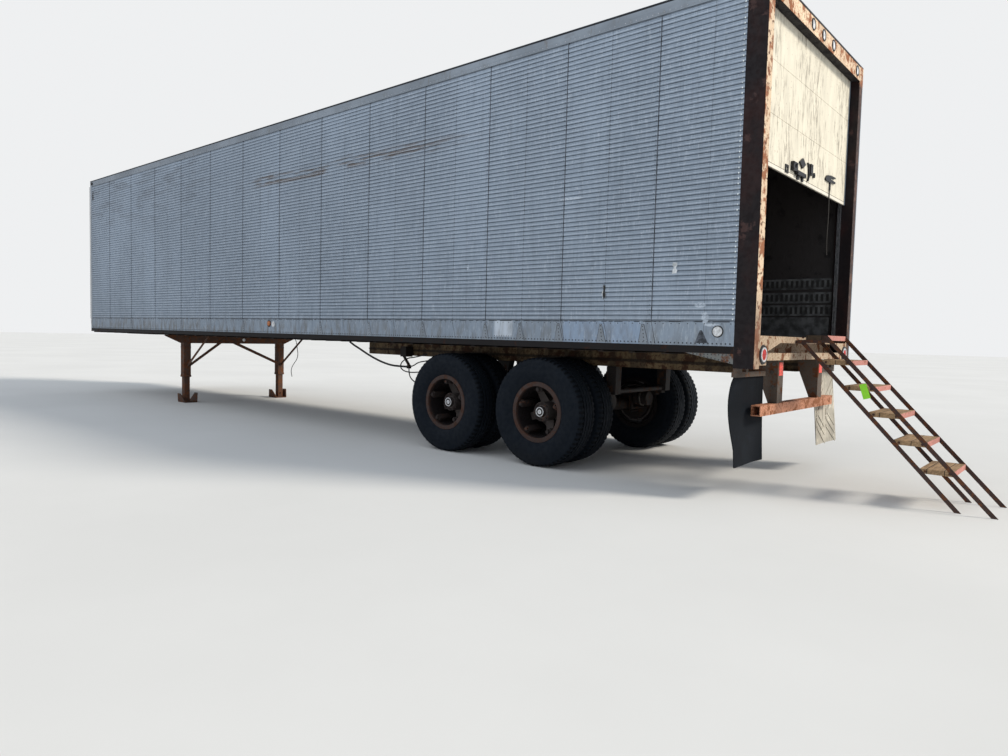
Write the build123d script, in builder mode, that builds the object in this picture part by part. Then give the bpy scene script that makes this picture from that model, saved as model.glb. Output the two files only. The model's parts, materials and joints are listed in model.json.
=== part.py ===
from build123d import *
import math
import os

os.makedirs("parts", exist_ok=True)

# A 42 ft fluted van semi trailer, parked on its landing legs, with a roll-up rear door.
# Millimetres. X runs forward, Y to the road side, Z up from the ground.
# Every x below is a distance forward of the rear face, and the planes shift it into the part's frame.

# Body
BODY_LENGTH = 12800
BODY_WIDTH = 2438
ROOF_TOP = 3916
FLOOR_TOP = 1272
FLOOR_THICK = 38
WALL_THICK = 45
NOSE_RADIUS = 90
NOSE_BACK = BODY_LENGTH - 150
ROOF_THICK = 10
TOP_RAIL_HEIGHT = 95
BOTTOM_RAIL_LOW = 1127
BOTTOM_RAIL_LIP = 57
BOTTOM_RAIL_THICK = 14
SKIRT_TOP = 1370
FLUTE_PITCH = 39
FLUTE_HEIGHT = 6
FLUTE_BASE = 36
FLUTE_CREST = 30
BOW_PITCH = 610
BOW_HEIGHT = 40
BOW_WIDTH = 44
BEAM_HEIGHT = 125
BEAM_PITCH = 305
BEAM_FLANGE = 60
BEAM_METAL = 7

# Rear frame
POST_DEPTH = 160
POST_FACE = 105
POST_METAL = 8
POST_BOTTOM = 1020
HEADER_HEIGHT = 150
HEADER_LAMPS = (-1016, -270, 0, 270, 1016)
HEADER_LAMP_RADIUS = 40
TAIL_LAMP_RADIUS = 57
TAIL_LAMP_Y = 1045
TAIL_LAMP_Z = 1128
SILL_LOW = 1090
SILL_STRIP = 50
SILL_DEPTH = 120

# Roll-up door
DOOR_SETBACK = 80
DOOR_THICK = 22
DOOR_PANEL = 400
DOOR_GAP = 3
DOOR_DROP = 1331
DOOR_SIDE_GAP = 2
DOOR_HUNG = 3
DOOR_STOWED = 3
DOOR_CORNER = 8
TRACK_GAP = 5
TRACK_WIDTH = 28
TRACK_BEND = 110
TRACK_DEPTH = 28
TRACK_SLOT = 16
TRACK_SLOT_DEPTH = 18
HINGE_LEAF = 90
HINGE_METAL = 3
HINGE_Y = 1000

# Coupler
KINGPIN_SETBACK = 914
KINGPIN_NECK = 25.4
KINGPIN_HEAD = 36.5
COUPLER_LENGTH = 1250
COUPLER_HALF = 560
COUPLER_THICK = 10
COUPLER_DROP = 6
COUPLER_SETBACK = 60
COUPLER_WEB = 190
PIN_FLANGE_RADIUS = 70
PIN_COLLAR = 35
PIN_NECK = 32
PIN_FOOT = 17

# Wheels and bogie
AXLES = {"rear": 2070, "front": 3288}
SIDES = {"left": 1, "right": -1}
TYRE_RADIUS = 515
TYRE_WIDTH = 274
TYRE_FACETS = 32
RIM_RADIUS = 258
RIM_FLANGE = 285
RIM_FACETS = 24
RIM_METAL = 10
RIM_FLANGE_GAP = 4
RIM_SEAT = 2
RIM_BORE = 244
HUB_RADIUS = 92
HUB_OUT = 1085
HUB_IN = 700
CAP_THICK = 14
DRUM_RADIUS = 205
DRUM_METAL = 16
DRUM_OUT = 850
DRUM_IN = 640
SPOKE_MID = 905
SPOKE_ROOT = 52
SPOKE_TAPER = 4
SPOKE_THICK = 90
OUTER_TYRE_Y = 1060
INNER_TYRE_Y = 740
SPOKES = 5
SPINDLE_RADIUS = 45
AXLE_RADIUS = 63.5
RUNNING_GAP = 0.3
RAIL_Y = 500
RAIL_FRONT = 5340
RAIL_BACK = 245
RAIL_HEIGHT = 154
RAIL_FLANGE = 70
RAIL_METAL = 8
RIB = 10
RIB_LIFT = 67
SPRING_LIFT = 78
SPRING_HALF = 590
SPRING_TAIL = 420
SPRING_BOW = 70
LEAVES = 4
LEAF_THICK = 14
LEAF_STEP = 0.2
LEAF_WIDTH = 76
HANGER_HALF = 110
REAR_HANGER_HALF = 55
HANGER_WIDTH = 96
CROSS_TUBE_RADIUS = 24

CHAMBER_Y = 440
CHAMBER_RADIUS = 75
CHAMBER_FOOT = 50
CHAMBER_LIFT = 80
CHAMBER_LENGTH = 150
CHAMBER_GAP = 70
CAM_BACK = 110
CAM_DROP = 40
CAM_RADIUS = 18
BACKING_GAP = 6
BACKING_RADIUS = 180
BACKING_METAL = 12
TUBE_LIFT = 40
ROD_Y = 400

# Bumper and mud flaps
BUMPER_X = 50
BUMPER_DEPTH = 75
BUMPER_HALF = 915
BUMPER_LOW = 640
BUMPER_TOP = 725
UPRIGHT_Y = 510
UPRIGHT_WIDTH = 120
UPRIGHT_TOP_DEPTH = 185
FLAP_X = 150
FLAP_Y = 925
FLAP_HALF = 300
FLAP_TOP = 950
FLAP_BOTTOM = 260
FLAP_THICK = 8
FLAP_CURLS = ((1, 14), (-1, 6))

# Side lamps on the skirt: distance forward, height, radius, how deep its seat is and how far each stands out
SKIRT_LAMPS = ((6587, 1312, 34, 2, 24), (6480, 1305, 38, 2, 8), (293, 1296, 40, 2, 10))
# Lamps at both ends of the top rail: distance from the body's end, radius and how far each stands out
RAIL_LAMP_BACK = 280
RAIL_LAMP_FRONT = 160
RAIL_LAMP_DROP = 58
RAIL_LAMP_RADIUS = 30
RAIL_LAMP_OUT = 22

# Cargo rails
CARGO_RAILS = (1560, 1690, 1830)
CARGO_HALF = 55
CARGO_METAL = 12
CARGO_BACK = 170

# Landing gear
BEAM_END = 1190
LANDING_LOW = 978
BRACE_METAL = 8
BRACE_FOOT_Z = 600
BRACE_REACH = 740
BRACE_APEX = 210
SHOE_HALF = 125
SHOE_SHIFT = 30
SHOE_REACH = 150
SHOE_FOLD = 100
SHOE_RISE = 150
SHOE_METAL = 12
SHOE_TIP = 45
SHOE_TOP = 110
LEG_X = 9670
LEG_Y = 870
LEG_WIDTH = 115
LEG_INNER = 90
LEG_OUTER_LOW = 420

# Boarding steps
STEP_SLOPE = 46.5
STEP_NEAR_Y = 320
STEP_FAR_Y = -190
STEP_TREADS = 6
STEP_RISE = 198
STEP_DEPTH = 225
STEP_BACK = 245
STEP_TOP = 1290
STEP_ANGLE = 32
STEP_METAL = 4
TOP_TREAD_FRONT = -75
TREAD_THICK = 38
NOSING = 40
HINGE_X = -50
HINGE_Z = 1232
HINGE_ROD = 8
HINGE_OVERRUN = 18

half_width = BODY_WIDTH / 2
inner_y = half_width - WALL_THICK
slope = math.radians(STEP_SLOPE)
step_reach = STEP_BACK + STEP_TOP / math.tan(slope)
REAR_X = -(BODY_LENGTH - step_reach) / 2
beam_top = FLOOR_TOP - FLOOR_THICK
beam_low = beam_top - BEAM_HEIGHT
top_rail_top = ROOF_TOP - ROOF_THICK
top_rail_low = top_rail_top - TOP_RAIL_HEIGHT
lip_top = BOTTOM_RAIL_LOW + BOTTOM_RAIL_LIP
skin_y = half_width - FLUTE_HEIGHT
web_y = half_width - BOTTOM_RAIL_THICK
opening_half = half_width - POST_FACE
door_half = opening_half - DOOR_SIDE_GAP
door_edge = ROOF_TOP - DOOR_DROP


def across(x):
    """Plane square to the trailer's length, at x; its x is Y and its y is Z."""
    return Plane(origin=(REAR_X + x, 0, 0), x_dir=(0, 1, 0), z_dir=(1, 0, 0))


def along(y):
    """Upright plane along the trailer, at y; an extrusion goes towards -Y."""
    return Plane(origin=(REAR_X, y, 0), x_dir=(1, 0, 0), z_dir=(0, -1, 0))


def level(z):
    """Level plane at height z."""
    return Plane(origin=(REAR_X, 0, z), x_dir=(1, 0, 0), z_dir=(0, 0, 1))


def bar(x, y, z, mode=Mode.ADD):
    """Adds a straight square-cut bar to the part being built, from three (low, high) spans."""
    with Locations((REAR_X + (x[0] + x[1]) / 2, (y[0] + y[1]) / 2, (z[0] + z[1]) / 2)):
        Box(x[1] - x[0], y[1] - y[0], z[1] - z[0], mode=mode)


def round_bar(x, y, z, radius, mode=Mode.ADD):
    """Adds a round bar or bore along Y, from y[0] to y[1], to the part being built."""
    with Locations(Location((REAR_X + x, (y[0] + y[1]) / 2, z), (90, 0, 0))):
        Cylinder(radius, abs(y[1] - y[0]), mode=mode)


def outline(points):
    """Closes a list of points into a face of the sketch being built."""
    with BuildLine() as edge:
        Polyline(*points, close=True)
    make_face(edge.edges())


def save(block, name):
    """Labels a finished piece and writes it."""
    block.part.label = name
    export_step(block.part, f"parts/{name}.step")


def plan_band(sketch, back, out, thick):
    """Plan of a band that runs forward from `back`, round the nose and back along the other side."""
    wide = BODY_WIDTH - 2 * out
    with Locations(((back + BODY_LENGTH - out) / 2, 0)):
        Rectangle(BODY_LENGTH - out - back, wide)
    fillet(sketch.vertices().group_by(Axis.X)[-1], NOSE_RADIUS - out)
    offset(amount=-thick, mode=Mode.SUBTRACT)
    with Locations((back + thick / 2, 0)):
        Rectangle(thick, wide - 2 * thick, mode=Mode.SUBTRACT)


# Side walls: a lined wall whose outer skin is pressed in level flutes above a smooth skirt
def wall_points():
    """Section of the left wall, Y against Z, from the floor's edge out, up the flutes and back."""
    points = [(inner_y, FLOOR_TOP), (web_y, FLOOR_TOP), (web_y, lip_top)]
    points += [(half_width - 2, lip_top), (half_width - 2, SKIRT_TOP), (skin_y, SKIRT_TOP)]
    ramp = (FLUTE_BASE - FLUTE_CREST) / 2
    count = int((top_rail_low - SKIRT_TOP) / FLUTE_PITCH)
    start = SKIRT_TOP + (top_rail_low - SKIRT_TOP - count * FLUTE_PITCH) / 2
    for number in range(count):
        low = start + number * FLUTE_PITCH + (FLUTE_PITCH - FLUTE_BASE) / 2
        points += [(skin_y, low), (half_width, low + ramp)]
        points += [(half_width, low + ramp + FLUTE_CREST), (skin_y, low + FLUTE_BASE)]
    return points + [(skin_y, top_rail_low), (inner_y, top_rail_low)]


for side, sign in SIDES.items():
    with BuildPart() as wall:
        with BuildSketch(across(POST_DEPTH)):
            outline([(sign * y, z) for y, z in wall_points()])
        extrude(amount=NOSE_BACK - POST_DEPTH)
    save(wall, f"{side}_side_wall")

# Nose wall with its rounded corner posts
with BuildPart() as nose_wall:
    with BuildSketch(level(FLOOR_TOP)) as plan:
        plan_band(plan, NOSE_BACK, 0, WALL_THICK)
    extrude(amount=top_rail_low - FLOOR_TOP)
    with BuildSketch(level(lip_top)) as plan:
        plan_band(plan, NOSE_BACK, 0, BOTTOM_RAIL_THICK)
    extrude(amount=FLOOR_TOP - lip_top)
save(nose_wall, "nose_wall")

# Top rail, round the nose, and the bottom rail, a lip under the skirt with a web behind it
with BuildPart() as top_rail:
    with BuildSketch(level(top_rail_low)) as plan:
        plan_band(plan, POST_DEPTH, 0, WALL_THICK)
    extrude(amount=TOP_RAIL_HEIGHT)
save(top_rail, "top_rail")

WEB_METAL = 8
with BuildPart() as bottom_rail:
    with BuildSketch(level(BOTTOM_RAIL_LOW)) as plan:
        plan_band(plan, POST_DEPTH, 0, BOTTOM_RAIL_THICK + WEB_METAL)
    extrude(amount=BOTTOM_RAIL_LIP)
    with BuildSketch(level(lip_top)) as plan:
        plan_band(plan, POST_DEPTH, BOTTOM_RAIL_THICK, WEB_METAL)
    extrude(amount=FLOOR_TOP - lip_top)
save(bottom_rail, "bottom_rail")

# Roof sheet and the bows under it
with BuildPart() as roof:
    with BuildSketch(level(top_rail_top)) as roof_plan:
        with Locations((BODY_LENGTH / 2, 0)):
            Rectangle(BODY_LENGTH, BODY_WIDTH)
        fillet(roof_plan.vertices().group_by(Axis.X)[-1], NOSE_RADIUS)
    extrude(amount=ROOF_THICK)
save(roof, "roof")

with BuildPart() as roof_bows:
    for number in range(1, int(NOSE_BACK / BOW_PITCH)):
        middle = POST_DEPTH + number * BOW_PITCH
        bar((middle - BOW_WIDTH / 2, middle + BOW_WIDTH / 2), (-inner_y, inner_y),
            (top_rail_top - BOW_HEIGHT, top_rail_top))
save(roof_bows, "roof_bows")

# Floor of hardwood boards and the I-beam crossmembers that carry it
FLOOR_BACK = 8
floor_front = BODY_LENGTH - WALL_THICK
doorway_half = opening_half - TRACK_DEPTH
with BuildPart() as floor:
    with BuildSketch(level(beam_top)) as floor_plan:
        with Locations(((POST_DEPTH + floor_front) / 2, 0)):
            Rectangle(floor_front - POST_DEPTH, 2 * inner_y)
        fillet(floor_plan.vertices().group_by(Axis.X)[-1], NOSE_RADIUS - WALL_THICK)
        with Locations(((FLOOR_BACK + POST_DEPTH) / 2, 0)):
            Rectangle(POST_DEPTH - FLOOR_BACK, 2 * doorway_half)
    extrude(amount=FLOOR_THICK)
save(floor, "floor")

FIRST_BEAM = 440
beam_count = int((NOSE_BACK - FIRST_BEAM) / BEAM_PITCH) + 1
beam_places = [FIRST_BEAM + number * BEAM_PITCH for number in range(beam_count)]
beam_half = web_y - WEB_METAL
flange_lift = (BEAM_HEIGHT - BEAM_METAL) / 2
with BuildPart() as crossmembers:
    with BuildSketch(along(beam_half)):
        with Locations(*[(x, (beam_low + beam_top) / 2) for x in beam_places]):
            Rectangle(BEAM_METAL, BEAM_HEIGHT)
            with Locations((0, flange_lift), (0, -flange_lift)):
                Rectangle(BEAM_FLANGE, BEAM_METAL)
    extrude(amount=2 * beam_half)
save(crossmembers, "crossmembers")

# Coupler plate under the nose with its turned-up front edge, and the kingpin
kingpin_x = BODY_LENGTH - KINGPIN_SETBACK
coupler_top = beam_low
coupler_low = coupler_top - COUPLER_DROP - COUPLER_THICK
coupler_back = BODY_LENGTH - COUPLER_LENGTH
coupler_front = BODY_LENGTH - COUPLER_SETBACK
with BuildPart() as coupler_plate:
    bar((coupler_back, coupler_front), (-COUPLER_HALF, COUPLER_HALF),
        (coupler_low, coupler_low + COUPLER_THICK))
    with BuildSketch(level(coupler_low)):
        with Locations((kingpin_x, 0)):
            Circle(KINGPIN_HEAD + RUNNING_GAP)
    extrude(amount=COUPLER_THICK, mode=Mode.SUBTRACT)
    for y in (-COUPLER_HALF, -COUPLER_WEB, COUPLER_WEB - COUPLER_THICK, COUPLER_HALF - COUPLER_THICK):
        bar((coupler_back, coupler_front), (y, y + COUPLER_THICK), (coupler_low, coupler_top))
save(coupler_plate, "coupler_plate")

# Two-inch kingpin: a flange on the plate, a collar through it, then the neck and the foot
with BuildPart() as kingpin:
    pin_z = coupler_top
    for radius, height in ((PIN_FLANGE_RADIUS, COUPLER_DROP), (KINGPIN_HEAD, COUPLER_THICK + PIN_COLLAR),
                           (KINGPIN_NECK, PIN_NECK), (KINGPIN_HEAD, PIN_FOOT)):
        with BuildSketch(level(pin_z)):
            with Locations((kingpin_x, 0)):
                Circle(radius)
        extrude(amount=-height)
        pin_z -= height
save(kingpin, "kingpin")

# Rear posts: pressed channels open to the front, each with a riveted corner gusset below the wall
GUSSET_REACH = 400
for side, sign in SIDES.items():
    with BuildPart() as post:
        with BuildSketch(level(POST_BOTTOM)):
            outline([(x, sign * y) for x, y in (
                (0, half_width), (POST_DEPTH, half_width), (POST_DEPTH, half_width - POST_METAL),
                (POST_METAL, half_width - POST_METAL), (POST_METAL, opening_half + POST_METAL),
                (POST_DEPTH, opening_half + POST_METAL), (POST_DEPTH, opening_half), (0, opening_half))])
        extrude(amount=top_rail_top - POST_BOTTOM)
        with BuildSketch(along(sign * (half_width - POST_METAL / 2 + sign * POST_METAL / 2))):
            outline([(POST_DEPTH, BOTTOM_RAIL_LOW), (POST_DEPTH + GUSSET_REACH, BOTTOM_RAIL_LOW),
                     (POST_DEPTH, POST_BOTTOM + 30)])
        extrude(amount=POST_METAL)
    save(post, f"{side}_rear_post")

# Header: a channel with its web to the rear, bored for the clearance lamps
header_low = ROOF_TOP - HEADER_HEIGHT
header_depth = DOOR_SETBACK - 5
with BuildPart() as header:
    with BuildSketch(along(opening_half)):
        outline([(0, header_low), (header_depth, header_low), (header_depth, header_low + POST_METAL),
                 (POST_METAL, header_low + POST_METAL), (POST_METAL, top_rail_top - POST_METAL),
                 (POST_DEPTH, top_rail_top - POST_METAL), (POST_DEPTH, top_rail_top), (0, top_rail_top)])
    extrude(amount=2 * opening_half)
    with BuildSketch(across(0)):
        with Locations(*[(y, (header_low + top_rail_top) / 2) for y in HEADER_LAMPS]):
            Circle(HEADER_LAMP_RADIUS)
    extrude(amount=POST_METAL, mode=Mode.SUBTRACT)
save(header, "rear_header")

# Sill: floor-edge plate, a gusset each side that carries a tail lamp, and the strip between them
with BuildPart() as sill:
    bar((0, POST_METAL), (-opening_half, opening_half), (beam_top - 6, FLOOR_TOP))
    bar((0, SILL_DEPTH), (-opening_half, opening_half), (beam_top - 6 - POST_METAL, beam_top - 6))
    with BuildSketch(across(0)):
        for sign in SIDES.values():
            outline([(sign * y, z) for y, z in (
                (opening_half, beam_top - 6), (654, beam_top - 6), (965, 1148), (975, SILL_LOW - 36),
                (opening_half, SILL_LOW - 36))])
        with Locations((-TAIL_LAMP_Y, TAIL_LAMP_Z), (TAIL_LAMP_Y, TAIL_LAMP_Z)):
            Circle(TAIL_LAMP_RADIUS, mode=Mode.SUBTRACT)
    extrude(amount=POST_METAL)
    bar((0, POST_METAL), (-980, 980), (SILL_LOW, SILL_LOW + SILL_STRIP))
    bar((0, SILL_DEPTH), (-980, 980), (SILL_LOW - POST_METAL, SILL_LOW))
    bar((SILL_DEPTH - POST_METAL, SILL_DEPTH), (-980, 980), (SILL_LOW, beam_top - 6 - POST_METAL))
    for sign in SIDES.values():
        bar((0, POST_DEPTH), sorted((sign * 975, sign * opening_half)), (SILL_LOW - 44, SILL_LOW - 36))
save(sill, "rear_sill")

# Rear lamps: each a lens in its hole, 0.3 mm clear of the rim, with a flat base behind
with BuildPart() as rear_lamps:
    with BuildSketch(across(-2)):
        with Locations(*[(y, (header_low + top_rail_top) / 2) for y in HEADER_LAMPS]):
            Circle(HEADER_LAMP_RADIUS - RUNNING_GAP)
        with Locations((-TAIL_LAMP_Y, TAIL_LAMP_Z), (TAIL_LAMP_Y, TAIL_LAMP_Z)):
            Circle(TAIL_LAMP_RADIUS - RUNNING_GAP)
    extrude(amount=28)
save(rear_lamps, "rear_lamps")

# Roll-up door: three panels hang in the opening and three lie stowed under the roof
panel_pitch = DOOR_PANEL + DOOR_GAP
door_inside = DOOR_SETBACK + DOOR_THICK
hung_top = door_edge + DOOR_HUNG * panel_pitch - DOOR_GAP
stowed_low = hung_top + DOOR_CORNER
stowed_back = door_inside + DOOR_CORNER
with BuildPart() as door:
    for number in range(DOOR_HUNG):
        low = door_edge + number * panel_pitch
        bar((DOOR_SETBACK, door_inside), (-door_half, door_half), (low, low + DOOR_PANEL))
    for number in range(DOOR_STOWED):
        back = stowed_back + number * panel_pitch
        bar((back, back + DOOR_PANEL), (-door_half, door_half), (stowed_low, stowed_low + DOOR_THICK))
save(door, "door_panels")

# Door tracks: a slotted channel up each post and forward under the stowed panels
track_back = door_inside + TRACK_GAP
track_top = stowed_low - TRACK_GAP
track_front = stowed_back + DOOR_STOWED * panel_pitch + 60


def track_plan(inset):
    """Side view of the track, narrowed by `inset` on both sides."""
    near, far = track_back + inset, track_back + TRACK_WIDTH - inset
    over, under = track_top - inset, track_top - TRACK_WIDTH + inset
    turn = TRACK_BEND + TRACK_WIDTH - 2 * inset
    with BuildLine() as edge:
        Polyline((far, FLOOR_TOP), (near, FLOOR_TOP), (near, over - turn))
        outer = RadiusArc((near, over - turn), (near + turn, over), turn)
        Polyline(outer @ 1, (track_front, over), (track_front, under), (far + TRACK_BEND, under))
        RadiusArc((far + TRACK_BEND, under), (far, under - TRACK_BEND), -TRACK_BEND)
        Line((far, under - TRACK_BEND), (far, FLOOR_TOP))
    make_face(edge.edges())


with BuildPart() as tracks:
    with BuildSketch(along(opening_half)):
        track_plan(0)
    extrude(amount=TRACK_DEPTH)
    with BuildSketch(along(opening_half - TRACK_DEPTH + TRACK_SLOT_DEPTH)):
        track_plan((TRACK_WIDTH - TRACK_SLOT) / 2)
    extrude(amount=TRACK_SLOT_DEPTH, mode=Mode.SUBTRACT)
    mirror(about=Plane.XZ)
save(tracks, "door_tracks")

# Hinges across each joint of the door, the end ones with a roller in the track
roller_x = track_back + TRACK_WIDTH / 2
roller_z = track_top - TRACK_WIDTH / 2
roller_in = opening_half - TRACK_DEPTH
with BuildPart() as hinges:
    for number in range(DOOR_HUNG):
        joint = door_edge + number * panel_pitch - DOOR_GAP / 2
        low = joint - HINGE_LEAF / 2 if number else joint + DOOR_GAP
        for y in (-HINGE_Y, 0, HINGE_Y):
            bar((door_inside, door_inside + HINGE_METAL), (y - 40, y + 40), (low, low + HINGE_LEAF))
        for sign in SIDES.values():
            ends = sorted((sign * (HINGE_Y - 20), sign * (roller_in + TRACK_SLOT_DEPTH - 4)))
            round_bar(roller_x, ends, low + HINGE_LEAF / 2, TRACK_SLOT / 2 - RUNNING_GAP)
            bar((door_inside + HINGE_METAL, roller_x), sorted((sign * (HINGE_Y - 20), sign * (HINGE_Y + 20))),
                (low + HINGE_LEAF / 2 - 8, low + HINGE_LEAF / 2 + 8))
    for number in range(1, DOOR_STOWED + 1):
        joint = stowed_back + number * panel_pitch - DOOR_GAP / 2
        back = joint - HINGE_LEAF / 2 if number < DOOR_STOWED else joint - DOOR_GAP - HINGE_LEAF
        for y in (-HINGE_Y, 0, HINGE_Y):
            bar((back, back + HINGE_LEAF), (y - 40, y + 40), (stowed_low - HINGE_METAL, stowed_low))
        for sign in SIDES.values():
            ends = sorted((sign * (HINGE_Y - 20), sign * (roller_in + TRACK_SLOT_DEPTH - 4)))
            round_bar(back + HINGE_LEAF / 2, ends, roller_z, TRACK_SLOT / 2 - RUNNING_GAP)
            bar((back + HINGE_LEAF / 2 - 8, back + HINGE_LEAF / 2 + 8),
                sorted((sign * (HINGE_Y - 20), sign * (HINGE_Y + 20))), (roller_z, stowed_low - HINGE_METAL))
save(hinges, "door_hinges")

# Latch on the outside of the bottom panel, its heights taken from the door's lower edge.
# Square-cut pieces: how far each stands out, its span in Y and its span in height
LATCH_BARS = ((8, (480, 550), (16, 80)), (26, (315, 420), (55, 127)), (30, (120, 330), (36, 70)),
              (12, (240, 280), (6, 36)), (12, (132, 168), (6, 36)), (20, (-80, -22), (95, 189)),
              (10, (-612, -588), (60, 130)))
# Bores by their Y and height, and a ring
LATCH_BORES = ((515, 48), (367, 96))
LATCH_BORE = 18
LATCH_RING = (-140, 111)
RING_RADIUS = 22
# Keeper, rod and pull handle as outlines of Y and height
KEEPER = ((238, 157), (163, 200), (89, 157), (163, 114))
LATCH_ROD = ((36, 188), (1, 133), (24, 34))
ROD_WIDTH = 16
HANDLE = ((-453, 147), (-500, 180), (-600, 195), (-743, 199), (-743, 187), (-622, 172), (-602, 160),
          (-739, 157), (-739, 140), (-560, 127), (-470, 130))
LATCH_METAL = 14
with BuildPart() as latch:
    for out, ys, heights in LATCH_BARS:
        bar((DOOR_SETBACK - out, DOOR_SETBACK), ys, (door_edge + heights[0], door_edge + heights[1]))
    with BuildSketch(across(DOOR_SETBACK - 2 * LATCH_METAL)):
        with Locations(*[(y, door_edge + height) for y, height in LATCH_BORES]):
            Circle(LATCH_BORE)
    extrude(amount=2 * LATCH_METAL, mode=Mode.SUBTRACT)
    with BuildSketch(across(DOOR_SETBACK - LATCH_METAL)):
        outline([(y, door_edge + height) for y, height in KEEPER])
        outline([(y, door_edge + height) for y, height in HANDLE])
        with BuildLine() as rod_edge:
            near, far = [ThreePointArc(*[(y + shift, door_edge + height) for y, height in LATCH_ROD])
                         for shift in (0, -ROD_WIDTH)]
            Line(near @ 0, far @ 0)
            Line(near @ 1, far @ 1)
        make_face(rod_edge.edges())
        with Locations((LATCH_RING[0], door_edge + LATCH_RING[1])):
            Circle(RING_RADIUS)
            Circle(RING_RADIUS / 2, mode=Mode.SUBTRACT)
    extrude(amount=LATCH_METAL)
save(latch, "door_latch")

# Wheels: one end's twin tyres, rim band and cast hub, drawn round the Y axis and then set on each axle
def ring(y, radius, facets):
    """Many-sided face round the axle line at y, a corner pointing down and its normal pointing out."""
    with BuildSketch(Plane(origin=(0, y, 0), x_dir=(1, 0, 0), z_dir=(0, 1, 0))) as section:
        RegularPolygon(radius, facets)
    return section.sketch.face()


def frustum(y, start, end, depth, facets, mode=Mode.ADD):
    """Many-sided band from radius `start` at y to radius `end`, `depth` further out, or in where negative."""
    narrowing = (start - end) * math.cos(math.pi / facets)
    lean = math.degrees(math.atan(narrowing / abs(depth)))
    extrude(ring(y, start, facets), amount=depth, taper=lean, mode=mode)


def barrel(start, end, radius, mode=Mode.ADD):
    """Round bar or bore on the axle line, from y start to y end."""
    with BuildSketch(Plane(origin=(0, start, 0), x_dir=(1, 0, 0), z_dir=(0, 1, 0))) as section:
        Circle(radius)
    extrude(section.sketch.face(), amount=end - start, mode=mode)


# Half width and radius of the crown, as shares of the tyre's width and radius, from tread to sidewall bulge
TYRE_CROWN = ((0.36, 1.0), (0.44, 0.965), (0.5, 0.78))
TYRE_BEAD = (0.36, 0.55)
with BuildPart() as tyre:
    extrude(ring(0, TYRE_RADIUS, TYRE_FACETS), amount=TYRE_CROWN[0][0] * TYRE_WIDTH)
    for (near, wide), (far, narrow) in zip(TYRE_CROWN, TYRE_CROWN[1:]):
        frustum(near * TYRE_WIDTH, wide * TYRE_RADIUS, narrow * TYRE_RADIUS, (far - near) * TYRE_WIDTH,
                TYRE_FACETS)
    frustum(TYRE_WIDTH / 2, TYRE_CROWN[-1][1] * TYRE_RADIUS, TYRE_BEAD[1] * TYRE_RADIUS,
            (TYRE_BEAD[0] - 0.5) * TYRE_WIDTH, TYRE_FACETS, Mode.SUBTRACT)
    extrude(ring(0, RIM_RADIUS + RIM_SEAT, TYRE_FACETS), amount=TYRE_WIDTH, mode=Mode.SUBTRACT)
    mirror(about=Plane.XZ)

with BuildPart() as twin_tyres:
    add([tyre.part.moved(Location((0, middle, 0))) for middle in (OUTER_TYRE_Y, INNER_TYRE_Y)])

# Two demountable rims and the spacer between them, as one band with a flange at each bead
bead_reach = TYRE_BEAD[0] * TYRE_WIDTH + RIM_FLANGE_GAP
band_out = OUTER_TYRE_Y + bead_reach
band_in = INNER_TYRE_Y - bead_reach
with BuildPart() as twin_rims:
    extrude(ring(band_in, RIM_RADIUS, RIM_FACETS), amount=band_out - band_in)
    for middle in (OUTER_TYRE_Y, INNER_TYRE_Y):
        for outward in (-1, 1):
            extrude(ring(middle + outward * bead_reach, RIM_FLANGE, RIM_FACETS), amount=outward * RIM_METAL)
    extrude(ring(band_in - RIM_METAL, RIM_BORE, RIM_FACETS), amount=band_out - band_in + 2 * RIM_METAL,
            mode=Mode.SUBTRACT)

# Hub: a barrel on the spindle with its cap, a brake drum inboard and cast spokes out to the rim band
with BuildPart() as hub:
    barrel(HUB_IN, HUB_OUT, HUB_RADIUS)
    barrel(DRUM_IN, DRUM_OUT, DRUM_RADIUS)
    with BuildSketch(Plane(origin=(0, SPOKE_MID, 0), x_dir=(1, 0, 0), z_dir=(0, 1, 0))):
        with PolarLocations(0, SPOKES, start_angle=90):
            Trapezoid(2 * SPOKE_ROOT, RIM_BORE, 90 - SPOKE_TAPER, align=(Align.CENTER, Align.MIN),
                      rotation=-90)
    extrude(amount=SPOKE_THICK / 2, both=True)
    extrude(ring(0, RIM_BORE - RUNNING_GAP, RIM_FACETS), amount=2 * HUB_OUT, mode=Mode.INTERSECT)
    barrel(DRUM_IN, DRUM_OUT - DRUM_METAL, DRUM_RADIUS - DRUM_METAL, Mode.SUBTRACT)
    barrel(DRUM_OUT - DRUM_METAL, HUB_OUT - CAP_THICK, SPINDLE_RADIUS + RUNNING_GAP, Mode.SUBTRACT)

for place, axle_x in AXLES.items():
    for side, sign in SIDES.items():
        for name, block in (("tyres", twin_tyres), ("rims", twin_rims), ("hub", hub)):
            with BuildPart() as node:
                add((block.part if sign > 0 else block.part.mirror(Plane.XZ)).moved(
                    Location((REAR_X + axle_x, 0, TYRE_RADIUS))))
            save(node, f"{place}_{side}_{name}")

# Axles: a tube between the drums, a spindle through each hub and a spring seat on top
with BuildPart() as axles:
    for axle_x in AXLES.values():
        round_bar(axle_x, (-DRUM_IN + 20, DRUM_IN - 20), TYRE_RADIUS, AXLE_RADIUS)
        round_bar(axle_x, (-HUB_OUT + CAP_THICK + 4, HUB_OUT - CAP_THICK - 4), TYRE_RADIUS, SPINDLE_RADIUS)
        for sign in SIDES.values():
            y = sign * RAIL_Y
            bar((axle_x - 60, axle_x + 60), (y - 40, y + 40), (TYRE_RADIUS + 40, TYRE_RADIUS + SPRING_LIFT))
            plate_in = DRUM_IN - BACKING_GAP - BACKING_METAL
            round_bar(axle_x, sorted((sign * plate_in, sign * (plate_in + BACKING_METAL))), TYRE_RADIUS,
                      BACKING_RADIUS)
save(axles, "axles")

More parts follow.
